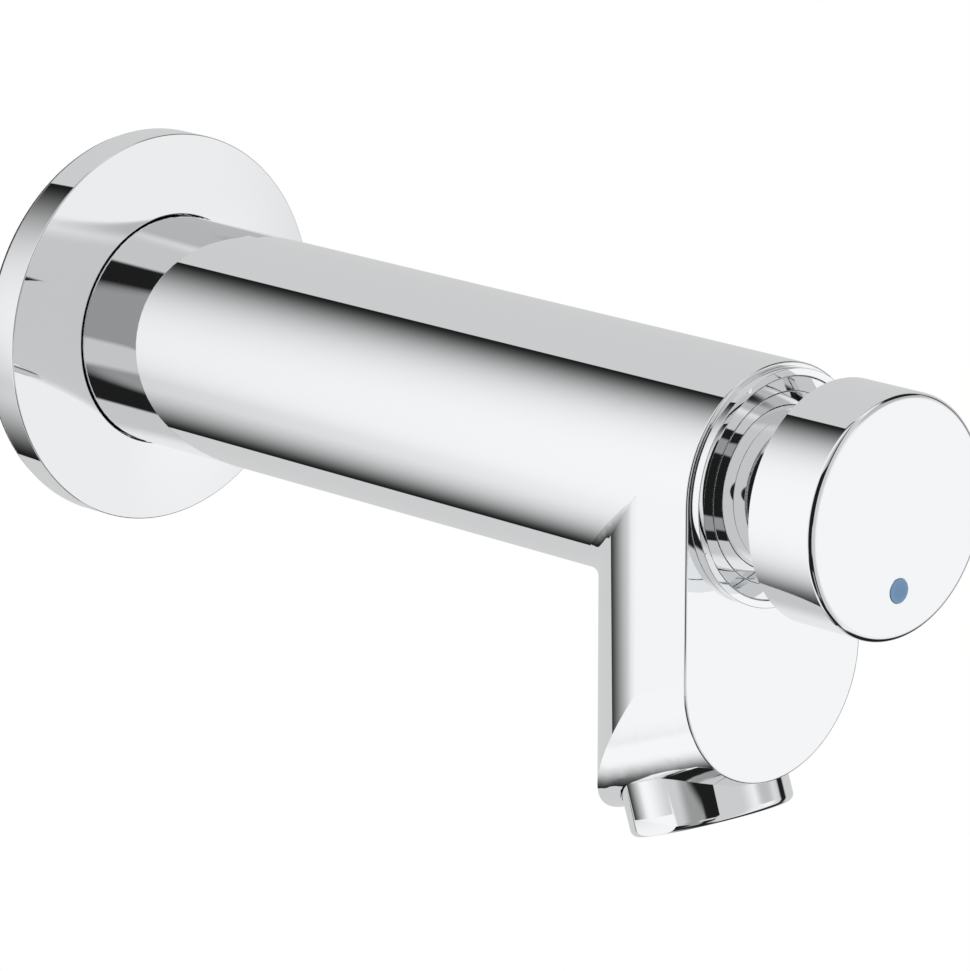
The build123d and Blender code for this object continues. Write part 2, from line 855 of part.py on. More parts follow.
# Dashpot cup: the piston's cylinder, with windows for the water on its way to the valve
cup_end_reach = bulkhead_reach - cup_gap
dashpot_end_reach = piston_end_reach + dashpot_margin
inflow_window_start = dashpot_end_reach + inflow_window_margin
inflow_window_end = joint_start_reach - inflow_window_margin
with BuildPart() as dashpot_cup:
    revolve(
        section(
            axis_side,
            (cup_rear_reach, timing_screw_radius + thread_clearance),
            (cup_rear_reach, joint_radius),
            (cup_end_reach, joint_radius),
            (cup_end_reach, inflow_radius),
            (dashpot_end_reach, inflow_radius),
            (dashpot_end_reach, dashpot_radius),
            (cup_floor_reach, dashpot_radius),
            (cup_floor_reach, timing_screw_radius + thread_clearance),
        ),
        axis=Axis.Y,
    )
    for window in range(inflow_windows):
        turn = full_turn * window / inflow_windows
        with BuildSketch(radial((inflow_window_start + inflow_window_end) / 2, turn)):
            RectangleRounded(
                inflow_window_end - inflow_window_start,
                inflow_window_width,
                inflow_window_width * window_corner_share,
            )
        extrude(amount=joint_radius + overrun, mode=Mode.SUBTRACT)
save(dashpot_cup, "dashpot_cup")

# Timing screw: sets how fast the dashpot fills, and so how long the water runs
with BuildPart() as timing_screw:
    revolve(
        section(
            axis_side,
            (timing_screw_rear, 0),
            (timing_screw_rear, timing_screw_radius),
            (cup_floor_reach, timing_screw_radius),
            (cup_floor_reach, timing_needle_radius),
            (cup_floor_reach + timing_needle_length, 0),
        ),
        axis=Axis.Y,
    )
    with BuildSketch(across(timing_screw_rear)):
        Rectangle(2 * timing_screw_radius, timing_slot_width)
    extrude(amount=timing_slot_depth, mode=Mode.SUBTRACT)
save(timing_screw, "timing_screw")

# Rod seal in the housing's front wall, and the guide bush that holds it in
guide_start_reach = rod_seal_start_reach + rod_seal_width
guide_spigot_radius = rod_seal_radius - thread_clearance
guide_head_radius = rod_seal_radius + guide_head_rim
guide_front_reach = chamber_end_reach + guide_head_thickness
with BuildPart() as rod_seal:
    revolve(
        ring_section(
            rod_seal_start_reach + seal_clearance,
            guide_start_reach - seal_clearance,
            rod_radius + seal_clearance,
            rod_seal_radius - seal_clearance,
        ),
        axis=Axis.Y,
    )
save(rod_seal, "rod_seal")

with BuildPart() as rod_guide:
    revolve(
        section(
            axis_side,
            (guide_start_reach, rod_bore),
            (guide_start_reach, guide_spigot_radius),
            (chamber_end_reach, guide_spigot_radius),
            (chamber_end_reach, guide_head_radius),
            (guide_front_reach, guide_head_radius),
            (guide_front_reach, rod_bore),
        ),
        axis=Axis.Y,
    )
save(rod_guide, "rod_guide")

# Valve: a soft washer in a brass disc, pulled onto the seat by the spring and the water
valve_disc_radius = inflow_radius - valve_disc_gap
valve_washer_radius = valve_disc_radius - valve_disc_rim
disc_end_reach = washer_start_reach + valve_disc_rim_height
with BuildPart() as valve_disc:
    revolve(
        section(
            axis_side,
            (disc_start_reach, rod_radius),
            (disc_start_reach, valve_disc_radius),
            (disc_end_reach, valve_disc_radius),
            (disc_end_reach, valve_washer_radius),
            (washer_start_reach, valve_washer_radius),
            (washer_start_reach, rod_radius),
        ),
        axis=Axis.Y,
    )
save(valve_disc, "valve_disc")

with BuildPart() as valve_washer:
    revolve(
        tube_section(
            axis_side,
            washer_start_reach,
            valve_face_reach,
            rod_radius + seal_clearance,
            valve_washer_radius - seal_clearance,
        ),
        axis=Axis.Y,
    )
save(valve_washer, "valve_washer")

# Slow piston on the tail of the rod, with a lip seal that lets the water out but not back in
piston_radius = dashpot_radius - piston_gap
lip_seal_floor_radius = piston_radius - lip_seal_depth
lip_seal_start_reach = piston_start_reach + lip_seal_setback
lip_seal_end_reach = lip_seal_start_reach + lip_seal_width
with BuildPart() as timing_piston:
    revolve(
        section(
            axis_side,
            (piston_start_reach, rod_tail_radius),
            (piston_start_reach, piston_radius),
            (lip_seal_start_reach, piston_radius),
            (lip_seal_start_reach, lip_seal_floor_radius),
            (lip_seal_end_reach, lip_seal_floor_radius),
            (lip_seal_end_reach, piston_radius),
            (piston_end_reach, piston_radius),
            (piston_end_reach, rod_tail_radius),
        ),
        axis=Axis.Y,
    )
save(timing_piston, "timing_piston")

with BuildPart() as piston_lip_seal:
    lip_outer = dashpot_radius - seal_clearance
    revolve(
        section(
            axis_side,
            (lip_seal_start_reach + seal_clearance, lip_seal_floor_radius + seal_clearance),
            (lip_seal_start_reach + seal_clearance, lip_outer - lip_seal_flare),
            (lip_seal_end_reach - lip_seal_flare, lip_outer),
            (lip_seal_end_reach - seal_clearance, lip_outer),
            (lip_seal_end_reach - lip_seal_flare, lip_outer - lip_seal_flare),
            (lip_seal_end_reach - seal_clearance, lip_seal_floor_radius + seal_clearance),
        ),
        axis=Axis.Y,
    )
save(piston_lip_seal, "piston_lip_seal")

# Nut that holds the piston on the rod
with BuildPart() as piston_nut:
    with BuildSketch(across(piston_start_reach - piston_nut_thickness)):
        RegularPolygon(piston_nut_width / 2, side_count=6, major_radius=False)
        Circle(rod_tail_radius, mode=Mode.SUBTRACT)
    extrude(amount=piston_nut_thickness)
save(piston_nut, "piston_nut")

# Return spring: one open coil between the floor of the dashpot and the piston
spring_radius = dashpot_radius - spring_wall_gap
spring_length = piston_start_reach - cup_floor_reach - 2 * spring_wire_radius
spring_pitch = spring_length / spring_turns
with BuildPart() as return_spring:
    with BuildLine() as coil:
        Helix(
            pitch=spring_pitch,
            height=spring_length,
            radius=spring_radius,
            center=(0, -cup_floor_reach - spring_wire_radius, 0),
            direction=(0, -1, 0),
        )
    with BuildSketch(Plane(origin=coil.line @ 0, z_dir=coil.line % 0)):
        Circle(spring_wire_radius)
    sweep()
save(return_spring, "return_spring")
turn_angle = radians(full_turn / spring_points)
spring_line = [
    (
        spring_radius * cos(turn_angle * step),
        spring_pitch * step / spring_points,
        spring_radius * sin(turn_angle * step),
    )
    for step in range(spring_points * spring_turns + 1)
]
spring_gap = min(
    sum((a - b) ** 2 for a, b in zip(spring_line[step], spring_line[other])) ** 0.5
    for step in range(spring_points)
    for other in range(step + spring_points // 2, len(spring_line))
)
print("return_spring least gap", round(spring_gap - 2 * spring_wire_radius, 2))

# Aerator housing: a threaded sleeve with a rounded rim and two spanner flats
aerator_bore_radius = outlet_thread_radius - aerator_wall
aerator_lip_radius = aerator_bore_radius - aerator_lip_width
with BuildPart() as aerator_housing:
    with BuildSketch(outlet_side):
        with BuildLine():
            Polyline(
                (0, aerator_lip_radius),
                (0, sleeve_radius),
                (sleeve_height, sleeve_radius),
                (sleeve_height, outlet_thread_radius),
                (outlet_thread_height, outlet_thread_radius),
                (outlet_thread_height, aerator_bore_radius),
                (aerator_lip_height, aerator_bore_radius),
                (aerator_lip_height, aerator_lip_radius),
                close=True,
            )
        make_face()
        fillet(vertices().group_by(Axis.Y)[-1].sort_by(Axis.X)[0], radius=sleeve_rim_round)
    revolve(axis=outlet_axis)
    for side in (-1, 1):
        with BuildSketch(outlet_level(0)):
            with Locations((side * (sleeve_radius * 3 / 2 - flats_depth), 0)):
                Rectangle(sleeve_radius, 2 * sleeve_radius)
        extrude(amount=flats_height, mode=Mode.SUBTRACT)
save(aerator_housing, "aerator_housing")

# Washer between the aerator and the end of the outlet socket
outlet_washer_radius = outlet_thread_radius - slip_clearance
with BuildPart() as outlet_washer:
    revolve(
        tube_section(
            outlet_side,
            outlet_thread_height,
            outlet_socket_height,
            outlet_washer_radius - outlet_washer_width,
            outlet_washer_radius,
        ),
        axis=outlet_axis,
    )
save(outlet_washer, "outlet_washer")

# Aerator insert: a cup with jets in its top, standing on the housing's lip over the screen
insert_radius = aerator_bore_radius - slip_clearance
insert_foot = aerator_lip_height + screen_thickness
insert_top_height = outlet_thread_height - insert_setback
with BuildPart() as aerator_insert:
    revolve(
        section(
            outlet_side,
            (insert_foot, insert_radius - insert_wall),
            (insert_foot, insert_radius),
            (insert_top_height, insert_radius),
            (insert_top_height, 0),
            (insert_top_height - insert_plate, 0),
            (insert_top_height - insert_plate, insert_radius - insert_wall),
        ),
        axis=outlet_axis,
    )
    with BuildSketch(outlet_level(insert_top_height)):
        with PolarLocations(insert_jet_circle_radius, insert_jets):
            Circle(insert_jet_radius)
    extrude(amount=-insert_plate, mode=Mode.SUBTRACT)
save(aerator_insert, "aerator_insert")

# Outlet screen: a grid of bars in a ring, seen from below
screen_opening = insert_radius - screen_seat_wall
screen_pitch = 2 * screen_opening / (screen_bars + 1)
with BuildPart() as outlet_screen:
    with BuildSketch(outlet_level(aerator_lip_height)):
        Circle(insert_radius)
        Circle(screen_opening, mode=Mode.SUBTRACT)
        for turn in (0, 90):
            for bar in range(screen_bars):
                shift = (bar - (screen_bars - 1) / 2) * screen_pitch
                length = 2 * (screen_opening**2 - shift**2) ** 0.5 + screen_seat_wall
                with Locations((shift, 0) if turn else (0, shift)):
                    Rectangle(length, screen_bar, rotation=turn)
    extrude(amount=screen_thickness)
save(outlet_screen, "outlet_screen")
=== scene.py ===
import json
import logging
from dataclasses import dataclass, field
from enum import Enum
from math import cos, pi, radians, sin, tan
from typing import Callable, Iterable, Sequence

import bpy
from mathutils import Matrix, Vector


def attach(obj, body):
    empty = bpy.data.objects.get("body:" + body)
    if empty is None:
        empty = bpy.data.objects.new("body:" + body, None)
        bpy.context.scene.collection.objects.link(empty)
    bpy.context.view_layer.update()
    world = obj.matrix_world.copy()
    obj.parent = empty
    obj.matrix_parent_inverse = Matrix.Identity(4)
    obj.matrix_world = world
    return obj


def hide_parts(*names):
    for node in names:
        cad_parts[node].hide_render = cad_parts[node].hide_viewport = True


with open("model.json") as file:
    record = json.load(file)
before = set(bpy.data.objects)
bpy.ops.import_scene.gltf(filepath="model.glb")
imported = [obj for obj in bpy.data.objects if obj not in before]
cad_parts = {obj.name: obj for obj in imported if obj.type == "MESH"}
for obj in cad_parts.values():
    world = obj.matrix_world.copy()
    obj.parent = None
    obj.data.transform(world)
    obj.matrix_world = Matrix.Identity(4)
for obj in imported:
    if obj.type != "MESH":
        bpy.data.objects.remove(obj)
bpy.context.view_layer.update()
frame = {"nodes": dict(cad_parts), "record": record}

MM = 0.001
Piece = bpy.types.Object
Socket = bpy.types.NodeSocket
Colour = tuple[float, float, float]
Place = tuple[float, float, float]
Span = tuple[float, float]
NODES: dict[str, Piece] = frame["nodes"]

logging.basicConfig(level=logging.INFO, format="%(message)s")
log = logging.getLogger("tap")


class Body(Enum):
    """The groups of pieces that move together."""

    TAP = "tap"
    BUTTON = "button"
    ROSETTE = "rosette"


class Slot(Enum):
    """The record's material slots."""

    CHROME = "chrome"
    BRASS = "brass"
    STEEL = "steel"
    RUBBER = "rubber"
    FOAM = "foam"
    FIBRE = "fibre"
    MOULDING = "moulding"
    INDEX = "index"


# Modelling by hand


def deselect() -> None:
    """Leaves nothing selected and no object in edit mode."""
    if bpy.context.object and bpy.context.object.mode != "OBJECT":
        bpy.ops.object.mode_set(mode="OBJECT")
    bpy.ops.object.select_all(action="DESELECT")


def pick(piece: Piece) -> None:
    """Makes one object the only selected and active one."""
    deselect()
    piece.select_set(True)
    bpy.context.view_layer.objects.active = piece


def pick_vertices(piece: Piece, wanted: Callable[[Vector], bool]) -> int:
    """Selects the vertices of a piece in edit mode by their place.

    Args:
        piece: the mesh object that is being edited.
        wanted: says of a place in metres whether its vertex is wanted.

    Returns:
        How many vertices were selected.
    """
    bpy.ops.mesh.select_mode(type="VERT")
    bpy.ops.mesh.select_all(action="DESELECT")
    bpy.ops.object.mode_set(mode="OBJECT")
    found = 0
    for vertex in piece.data.vertices:
        if wanted(vertex.co):
            vertex.select = True
            found += 1
    bpy.ops.object.mode_set(mode="EDIT")
    return found


def settle(piece: Piece) -> None:
    """Puts a piece's place, turn and scale into its mesh."""
    pick(piece)
    bpy.ops.object.transform_apply(location=True, rotation=True, scale=True)


def new_piece(
    operator: Callable[..., object], name: str = "", scale: Sequence[float] = (1, 1, 1), **settings: object
) -> Piece:
    """Adds a plain mesh with one of Blender's operators and puts its place and scale into it."""
    deselect()
    operator(**settings)
    piece = bpy.context.object
    if name:
        piece.name = piece.data.name = name
    piece.scale = scale
    settle(piece)
    return piece


def outward(piece: Piece) -> None:
    """Merges doubled vertices and turns all faces outwards."""
    pick(piece)
    bpy.ops.object.mode_set(mode="EDIT")
    bpy.ops.mesh.select_all(action="SELECT")
    bpy.ops.mesh.remove_doubles(threshold=0.002 * MM)
    bpy.ops.mesh.normals_make_consistent(inside=False)
    bpy.ops.object.mode_set(mode="OBJECT")


def work(piece: Piece, kind: str, **settings: object) -> None:
    """Adds one modifier with its settings to a piece and applies it."""
    pick(piece)
    modifier = piece.modifiers.new("work", kind)
    for key, value in settings.items():
        setattr(modifier, key, value)
    bpy.ops.object.modifier_apply(modifier=modifier.name)


def unite(first: Piece, *others: Piece) -> None:
    """Joins other pieces into the first one."""
    pick(first)
    for piece in others:
        piece.select_set(True)
    bpy.ops.object.join()


def ease_edges(piece: Piece, width: float, steps: int = 3, limit: float = 25.0) -> None:
    """Rounds a piece's edges and keeps its flat faces flat.

    Args:
        piece: the mesh object.
        width: the width of the round in millimetres.
        steps: faces across the round.
        limit: edges that turn by fewer degrees than this are left alone.
    """
    work(
        piece,
        "BEVEL",
        width=width * MM,
        segments=steps,
        limit_method="ANGLE",
        angle_limit=radians(limit),
        use_clamp_overlap=True,
    )
    bpy.ops.object.shade_smooth_by_angle(angle=radians(40))
    work(piece, "WEIGHTED_NORMAL", keep_sharp=True)


@dataclass(frozen=True)
class Lathe:
    """A turning axis. Lengths are counted from its foot along it, in millimetres."""

    foot: Vector
    along: Vector
    facets: int = 128

    def place(self, length: float) -> Vector:
        """Place on the axis at a length, in metres."""
        return (self.foot + self.along * length) * MM

    def turn(self, name: str, outline: Sequence[tuple[float, float]], ring: bool = True) -> Piece:
        """Turns an outline, circle by circle, by extruding and scaling.

        Args:
            name: the new piece's name.
            outline: (length, radius) corners in millimetres, going round the section.
            ring: whether the last circle joins the first. Otherwise both are filled.

        Returns:
            The closed piece.
        """
        length, radius = outline[0]
        piece = new_piece(
            bpy.ops.mesh.primitive_circle_add,
            name,
            vertices=self.facets,
            radius=radius * MM,
            fill_type="NOTHING",
            location=self.place(length),
            rotation=self.along.to_track_quat("Z", "Y").to_euler(),
        )
        bpy.ops.object.mode_set(mode="EDIT")
        bpy.ops.mesh.select_mode(type="EDGE")
        bpy.ops.mesh.select_all(action="SELECT")
        for next_length, next_radius in outline[1:]:
            step = self.along * (next_length - length) * MM
            bpy.ops.mesh.extrude_region_move(TRANSFORM_OT_translate={"value": step})
            scale = next_radius / radius
            bpy.ops.transform.resize(value=(scale,) * 3, center_override=self.place(next_length))
            length, radius = next_length, next_radius
        if ring:
            bpy.ops.mesh.select_all(action="DESELECT")
            bpy.ops.mesh.select_non_manifold()
            bpy.ops.mesh.bridge_edge_loops()
        else:
            bpy.ops.mesh.select_all(action="SELECT")
            bpy.ops.mesh.fill_holes(sides=0)
        outward(piece)
        return piece


def carve(piece: Piece, tool: Piece) -> None:
    """Cuts a tool's shape out of a piece and throws the tool away."""
    work(piece, "BOOLEAN", operation="DIFFERENCE", solver="EXACT", object=tool)
    bpy.data.objects.remove(tool)


def seat(piece: Piece, body: Body, slot: Slot, finishes: "Finishes", *nodes: str) -> None:
    """Finishes a new piece: its body, its slot, its material and the solids that it stands for.

    Args:
        piece: the finished mesh object.
        body: the body that it rides on.
        slot: the record's slot of its finish.
        finishes: every finish of the tap.
        nodes: the CAD nodes that it replaces.
    """
    piece.data.materials.clear()
    piece.data.materials.append(finishes.of(slot))
    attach(piece, body.value)
    if nodes:
        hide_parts(*nodes)
    log.info("%s: %d faces", piece.name, len(piece.data.polygons))


# Shared surface effects


@dataclass(frozen=True)
class Bench:
    """Adds nodes to a tree and joins them."""

    tree: bpy.types.NodeTree

    def add(self, kind: str, *operands: object, **settings: object) -> bpy.types.Node:
        """Adds a node, sets its own settings and feeds its inputs in their order."""
        node = self.tree.nodes.new(kind)
        for key, value in settings.items():
            setattr(node, key, value)
        for socket, operand in zip(node.inputs, operands):
            self.feed(socket, operand)
        return node

    def join(self, source: Socket, target: Socket) -> None:
        """Links two sockets."""
        self.tree.links.new(source, target)

    def feed(self, socket: Socket, operand: object) -> None:
        """Gives a socket a plain value, or a link where the operand is a socket."""
        if isinstance(operand, Socket):
            self.join(operand, socket)
        else:
            socket.default_value = operand

    def math(self, operation: str, *operands: object, clamp: bool = False) -> Socket:
        """Adds a sum on sockets and numbers.

        Args:
            operation: the Math node's operation.
            operands: sockets or plain numbers, in the node's order.
            clamp: whether the result is kept from 0 to 1.

        Returns:
            The socket of the result.
        """
        return self.add("ShaderNodeMath", *operands, operation=operation, use_clamp=clamp).outputs[0]

    def vector(self, operation: str, *operands: object) -> bpy.types.Node:
        """Adds a sum on vectors, each a socket or a plain vector."""
        return self.add("ShaderNodeVectorMath", *operands, operation=operation)

    def place(self) -> Socket:
        """Where a point lies in its object's own frame."""
        return self.add("ShaderNodeTexCoord").outputs["Object"]

    def less(self, value: Socket) -> Socket:
        """One less a value, which turns a mask round."""
        return self.math("SUBTRACT", 1.0, value)

    def smooth(self, value: Socket, low: float, high: float) -> Socket:
        """Smooth step from 0 at one value to 1 at another."""
        node = self.add("ShaderNodeMapRange", value, low, high, interpolation_type="SMOOTHSTEP")
        return node.outputs["Result"]

    def band(self, value: Socket, rise: Span, fall: Span) -> Socket:
        """Mask that is 1 between a soft start and a soft end."""
        return self.math("MULTIPLY", self.smooth(value, *rise), self.less(self.smooth(value, *fall)))

    def noise(self, vector: Socket, scale: object, detail: float = 3.0) -> Socket:
        """Adds a noise pattern."""
        node = self.add("ShaderNodeTexNoise")
        for label, operand in (("Vector", vector), ("Scale", scale), ("Detail", detail)):
            self.feed(node.inputs[label], operand)
        return node.outputs["Fac"]

    def parts(self, vector: Socket) -> dict[str, Socket]:
        """Takes a vector apart into its X, Y and Z."""
        node = self.add("ShaderNodeSeparateXYZ", vector)
        return {axis: node.outputs[axis] for axis in "XYZ"}

    def mix(self, share: Socket, first: object, second: object) -> Socket:
        """Mixes two colours, each a socket or a plain colour."""
        node = self.add("ShaderNodeMix", data_type="RGBA")
        self.feed(node.inputs["Factor"], share)
        for label, colour in (("A", first), ("B", second)):
            self.feed(node.inputs[label], (*colour, 1.0) if isinstance(colour, tuple) else colour)
        return node.outputs["Result"]

    def blend(self, share: Socket, first: Socket, second: Socket) -> Socket:
        """Mixes two shaders."""
        return self.add("ShaderNodeMixShader", share, first, second).outputs[0]

    def surface(self, shader: Socket) -> None:
        """Ends the tree in a surface."""
        self.add("ShaderNodeOutputMaterial", shader)


def bare_material(name: str) -> tuple[bpy.types.Material, Bench]:
    """Makes a material with an empty tree, and a bench on it."""
    material = bpy.data.materials.new(name)
    material.use_nodes = True
    material.node_tree.nodes.clear()
    return material, Bench(material.node_tree)


def effect(
    name: str, inputs: dict[str, float], outputs: Iterable[str]
) -> tuple[Bench, bpy.types.Node, bpy.types.Node]:
    """Starts a shader node group with a Vector input, named numbers in and named values out.

    Args:
        name: the group's name.
        inputs: the numbers' names and defaults.
        outputs: the results' names.

    Returns:
        A bench on the group, its input node and its output node.
    """
    tree = bpy.data.node_groups.new(name, "ShaderNodeTree")
    tree.interface.new_socket("Vector", in_out="INPUT", socket_type="NodeSocketVector")
    for label, value in inputs.items():
        tree.interface.new_socket(label, in_out="INPUT", socket_type="NodeSocketFloat").default_value = value
    for label in outputs:
        tree.interface.new_socket(label, in_out="OUTPUT", socket_type="NodeSocketFloat")
    bench = Bench(tree)
    return bench, bench.add("NodeGroupInput"), bench.add("NodeGroupOutput")


class Effects:
    """Effects that several finishes share, each one node group built once."""

    def __init__(self) -> None:
        """Builds every group."""
        self.water_marks = self._water_marks()
        self.polish = self._polish()
        self.grain = self._grain()
        self.turning = self._turning()
        self.edge_wear = self._edge_wear()
        self.dust = self._dust()

    @staticmethod
    def _water_marks() -> bpy.types.NodeTree:
        """Rings that dried drops leave: Scale is drops to the metre, Spread how many show."""
        bench, given, result = effect("water marks", {"Scale": 90.0, "Spread": 0.5}, ["Mask"])
        cells = bench.add("ShaderNodeTexVoronoi", feature="F1")
        bench.join(given.outputs["Vector"], cells.inputs["Vector"])
        bench.join(given.outputs["Scale"], cells.inputs["Scale"])
        chance = bench.add("ShaderNodeSeparateColor", cells.outputs["Color"])
        size = bench.math("MULTIPLY_ADD", chance.outputs["Red"], 0.16, 0.1)
        away = bench.math("ABSOLUTE", bench.math("SUBTRACT", cells.outputs["Distance"], size))
        ring = bench.less(bench.smooth(away, 0.0, 0.035))
        inside = bench.math("MULTIPLY", bench.math("LESS_THAN", cells.outputs["Distance"], size), 0.35)
        shown = bench.math("LESS_THAN", chance.outputs["Green"], given.outputs["Spread"])
        bench.join(bench.math("MULTIPLY", bench.math("MAXIMUM", ring, inside), shown), result.inputs["Mask"])
        return bench.tree

    @staticmethod
    def _polish() -> bpy.types.NodeTree:
        """Very fine wandering lines that a polishing wheel leaves."""
        bench, given, result = effect("polishing lines", {"Scale": 400.0, "Stretch": 0.06}, ["Height"])
        squeeze = bench.add("ShaderNodeCombineXYZ", 1.0, given.outputs["Stretch"], 1.0)
        drawn = bench.vector("MULTIPLY", given.outputs["Vector"], squeeze.outputs[0])
        bench.join(bench.noise(drawn.outputs[0], given.outputs["Scale"], 5.0), result.inputs["Height"])
        return bench.tree

    @staticmethod
    def _grain() -> bpy.types.NodeTree:
        """Moulded or cast grain: a fine height and a broad change of tone."""
        bench, given, result = effect("fine grain", {"Scale": 900.0, "Cloud": 60.0}, ["Height", "Tone"])
        bench.join(bench.noise(given.outputs["Vector"], given.outputs["Scale"], 6.0), result.inputs["Height"])
        bench.join(bench.noise(given.outputs["Vector"], given.outputs["Cloud"], 2.0), result.inputs["Tone"])
        return bench.tree

    @staticmethod
    def _turning() -> bpy.types.NodeTree:
        """Grooves that a lathe tool leaves, square to the tap's axis on sides and round it on ends."""
        bench, given, result = effect("turning marks", {"Pitch": 0.00018}, ["Height"])
        parts = bench.parts(given.outputs["Vector"])
        squares = [bench.math("POWER", parts[axis], 2.0) for axis in "XZ"]
        reach = bench.math("ADD", parts["Y"], bench.math("SQRT", bench.math("ADD", *squares)))
        wobble = bench.math("MULTIPLY", bench.noise(given.outputs["Vector"], 300.0, 2.0), 0.0002)
        turns = bench.math("DIVIDE", bench.math("ADD", reach, wobble), given.outputs["Pitch"])
        bench.join(bench.math("SINE", bench.math("MULTIPLY", turns, 2 * pi)), result.inputs["Height"])
        return bench.tree

    @staticmethod
    def _edge_wear() -> bpy.types.NodeTree:
        """Where edges are rubbed bright: Width is the reach of the wear in metres."""
        bench, given, result = effect("edge wear", {"Width": 0.0004, "Scale": 500.0}, ["Mask"])
        rounded = bench.add("ShaderNodeBevel", given.outputs["Width"], samples=4)
        true = bench.add("ShaderNodeNewGeometry")
        alike = bench.vector("DOT_PRODUCT", rounded.outputs["Normal"], true.outputs["Normal"])
        edge = bench.less(bench.smooth(alike.outputs["Value"], 0.8, 0.995))
        broken = bench.smooth(bench.noise(given.outputs["Vector"], given.outputs["Scale"], 4.0), 0.35, 0.6)
        bench.join(bench.math("MULTIPLY", edge, broken, clamp=True), result.inputs["Mask"])
        return bench.tree

    @staticmethod
    def _dust() -> bpy.types.NodeTree:
        """Thin dust that settles on faces that look up."""
        bench, given, result = effect("settled dust", {"Amount": 0.2, "Scale": 250.0}, ["Mask"])
        true = bench.add("ShaderNodeNewGeometry")
        upward = bench.smooth(bench.parts(true.outputs["Normal"])["Z"], 0.2, 1.0)
        specks = bench.smooth(bench.noise(given.outputs["Vector"], given.outputs["Scale"], 6.0), 0.45, 0.75)
        lying = bench.math("MULTIPLY", upward, specks)
        bench.join(bench.math("MULTIPLY", lying, given.outputs["Amount"], clamp=True), result.inputs["Mask"])
        return bench.tree


# Finishes


@dataclass
class Paintbox:
    """A material being made: its bench, its shader and the place that patterns are read from."""

    name: str
    bench: Bench = field(init=False)
    material: bpy.types.Material = field(init=False)
    shader: bpy.types.Node = field(init=False)
    place: Socket = field(init=False)

    def __post_init__(self) -> None:
        """Makes the material with its shader and Object coordinates."""
        self.material = bpy.data.materials.new(self.name)
        self.material.use_nodes = True
        self.bench = Bench(self.material.node_tree)
        self.shader = self.material.node_tree.nodes["Principled BSDF"]
        self.place = self.bench.place()

    def set(self, **values: object) -> None:
        """Sets the shader's own sockets, with _ for the spaces in their names."""
        for key, value in values.items():
            self.shader.inputs[key.replace("_", " ")].default_value = value

    def use(self, tree: bpy.types.NodeTree, **values: float) -> bpy.types.Node:
        """Places a shared effect with this material's own numbers."""
        node = self.bench.add("ShaderNodeGroup", node_tree=tree)
        self.bench.join(self.place, node.inputs["Vector"])
        for key, value in values.items():
            node.inputs[key].default_value = value
        return node

    def colour(self, mask: Socket, first: object, second: Colour) -> None:
        """Feeds the base colour, the first where the mask is 0 and the second where it is 1."""
        self.bench.join(self.bench.mix(mask, first, second), self.shader.inputs["Base Color"])

    def rough(self, mask: Socket, low: float, high: float) -> None:
        """Feeds the roughness, from low where the mask is 0 to high where it is 1."""
        amount = self.bench.math("MULTIPLY_ADD", mask, high - low, low)
        self.bench.join(amount, self.shader.inputs["Roughness"])

    def bump(self, height: Socket, depth: float) -> None:
        """Feeds the normal through a bump whose depth is in millimetres."""
        node = self.bench.add("ShaderNodeBump")
        node.inputs["Distance"].default_value = depth * MM
        self.bench.join(height, node.inputs["Height"])
        self.bench.join(node.outputs["Normal"], self.shader.inputs["Normal"])


@dataclass(frozen=True)
class Chrome:
    """Bright chrome plating with faint dried drops and the last lines of its polishing."""

    plate: Colour = (0.905, 0.915, 0.925)
    marked: Colour = (0.86, 0.865, 0.87)

    def material(self, effects: Effects) -> bpy.types.Material:
        """Makes the material."""
        box = Paintbox("chrome plating")
        box.set(Metallic=1.0, Specular_IOR_Level=0.5)
        marks = box.use(effects.water_marks, Scale=70.0, Spread=0.05)
        lines = box.use(effects.polish, Scale=700.0, Stretch=0.05)
        box.colour(box.bench.math("MULTIPLY", marks.outputs["Mask"], 0.35), self.plate, self.marked)
        box.rough(marks.outputs["Mask"], 0.018, 0.06)
        box.bump(lines.outputs["Height"], 0.0004)
        return box.material


@dataclass(frozen=True)
class Metal:
    """Machined metal with turning marks and edges rubbed bright."""

    name: str
    body: Colour
    rubbed: Colour
    dull: Colour
    roughness: float = 0.26
    pitch: float = 0.16

    def material(self, effects: Effects) -> bpy.types.Material:
        """Makes the material."""
        box = Paintbox(self.name)
        box.set(Metallic=1.0)
        cloud = box.use(effects.grain, Scale=800.0, Cloud=90.0)
        wear = box.use(effects.edge_wear, Width=0.35 * MM, Scale=600.0)
        marks = box.use(effects.turning, Pitch=self.pitch * MM)
        base = box.bench.mix(box.bench.smooth(cloud.outputs["Tone"], 0.35, 0.7), self.body, self.dull)
        box.colour(wear.outputs["Mask"], base, self.rubbed)
        box.rough(cloud.outputs["Tone"], self.roughness - 0.08, self.roughness + 0.12)
        box.bump(marks.outputs["Height"], 0.006)
        return box.material


@dataclass(frozen=True)
class Moulded:
    """Moulded plastic or rubber with grain, a change of tone and a little dust."""

    name: str
    body: Colour
    paler: Colour
    dusty: Colour
    roughness: float
    grain: float
    depth: float
    sheen: float = 0.0

    def material(self, effects: Effects) -> bpy.types.Material:
        """Makes the material."""
        box = Paintbox(self.name)
        box.set(Metallic=0.0, Sheen_Weight=self.sheen)
        grain = box.use(effects.grain, Scale=self.grain, Cloud=120.0)
        dust = box.use(effects.dust, Amount=0.35, Scale=300.0)
        base = box.bench.mix(box.bench.smooth(grain.outputs["Tone"], 0.3, 0.75), self.body, self.paler)
        box.colour(dust.outputs["Mask"], base, self.dusty)
        box.rough(grain.outputs["Tone"], self.roughness - 0.06, self.roughness + 0.08)
        box.bump(grain.outputs["Height"], self.depth)
        return box.material


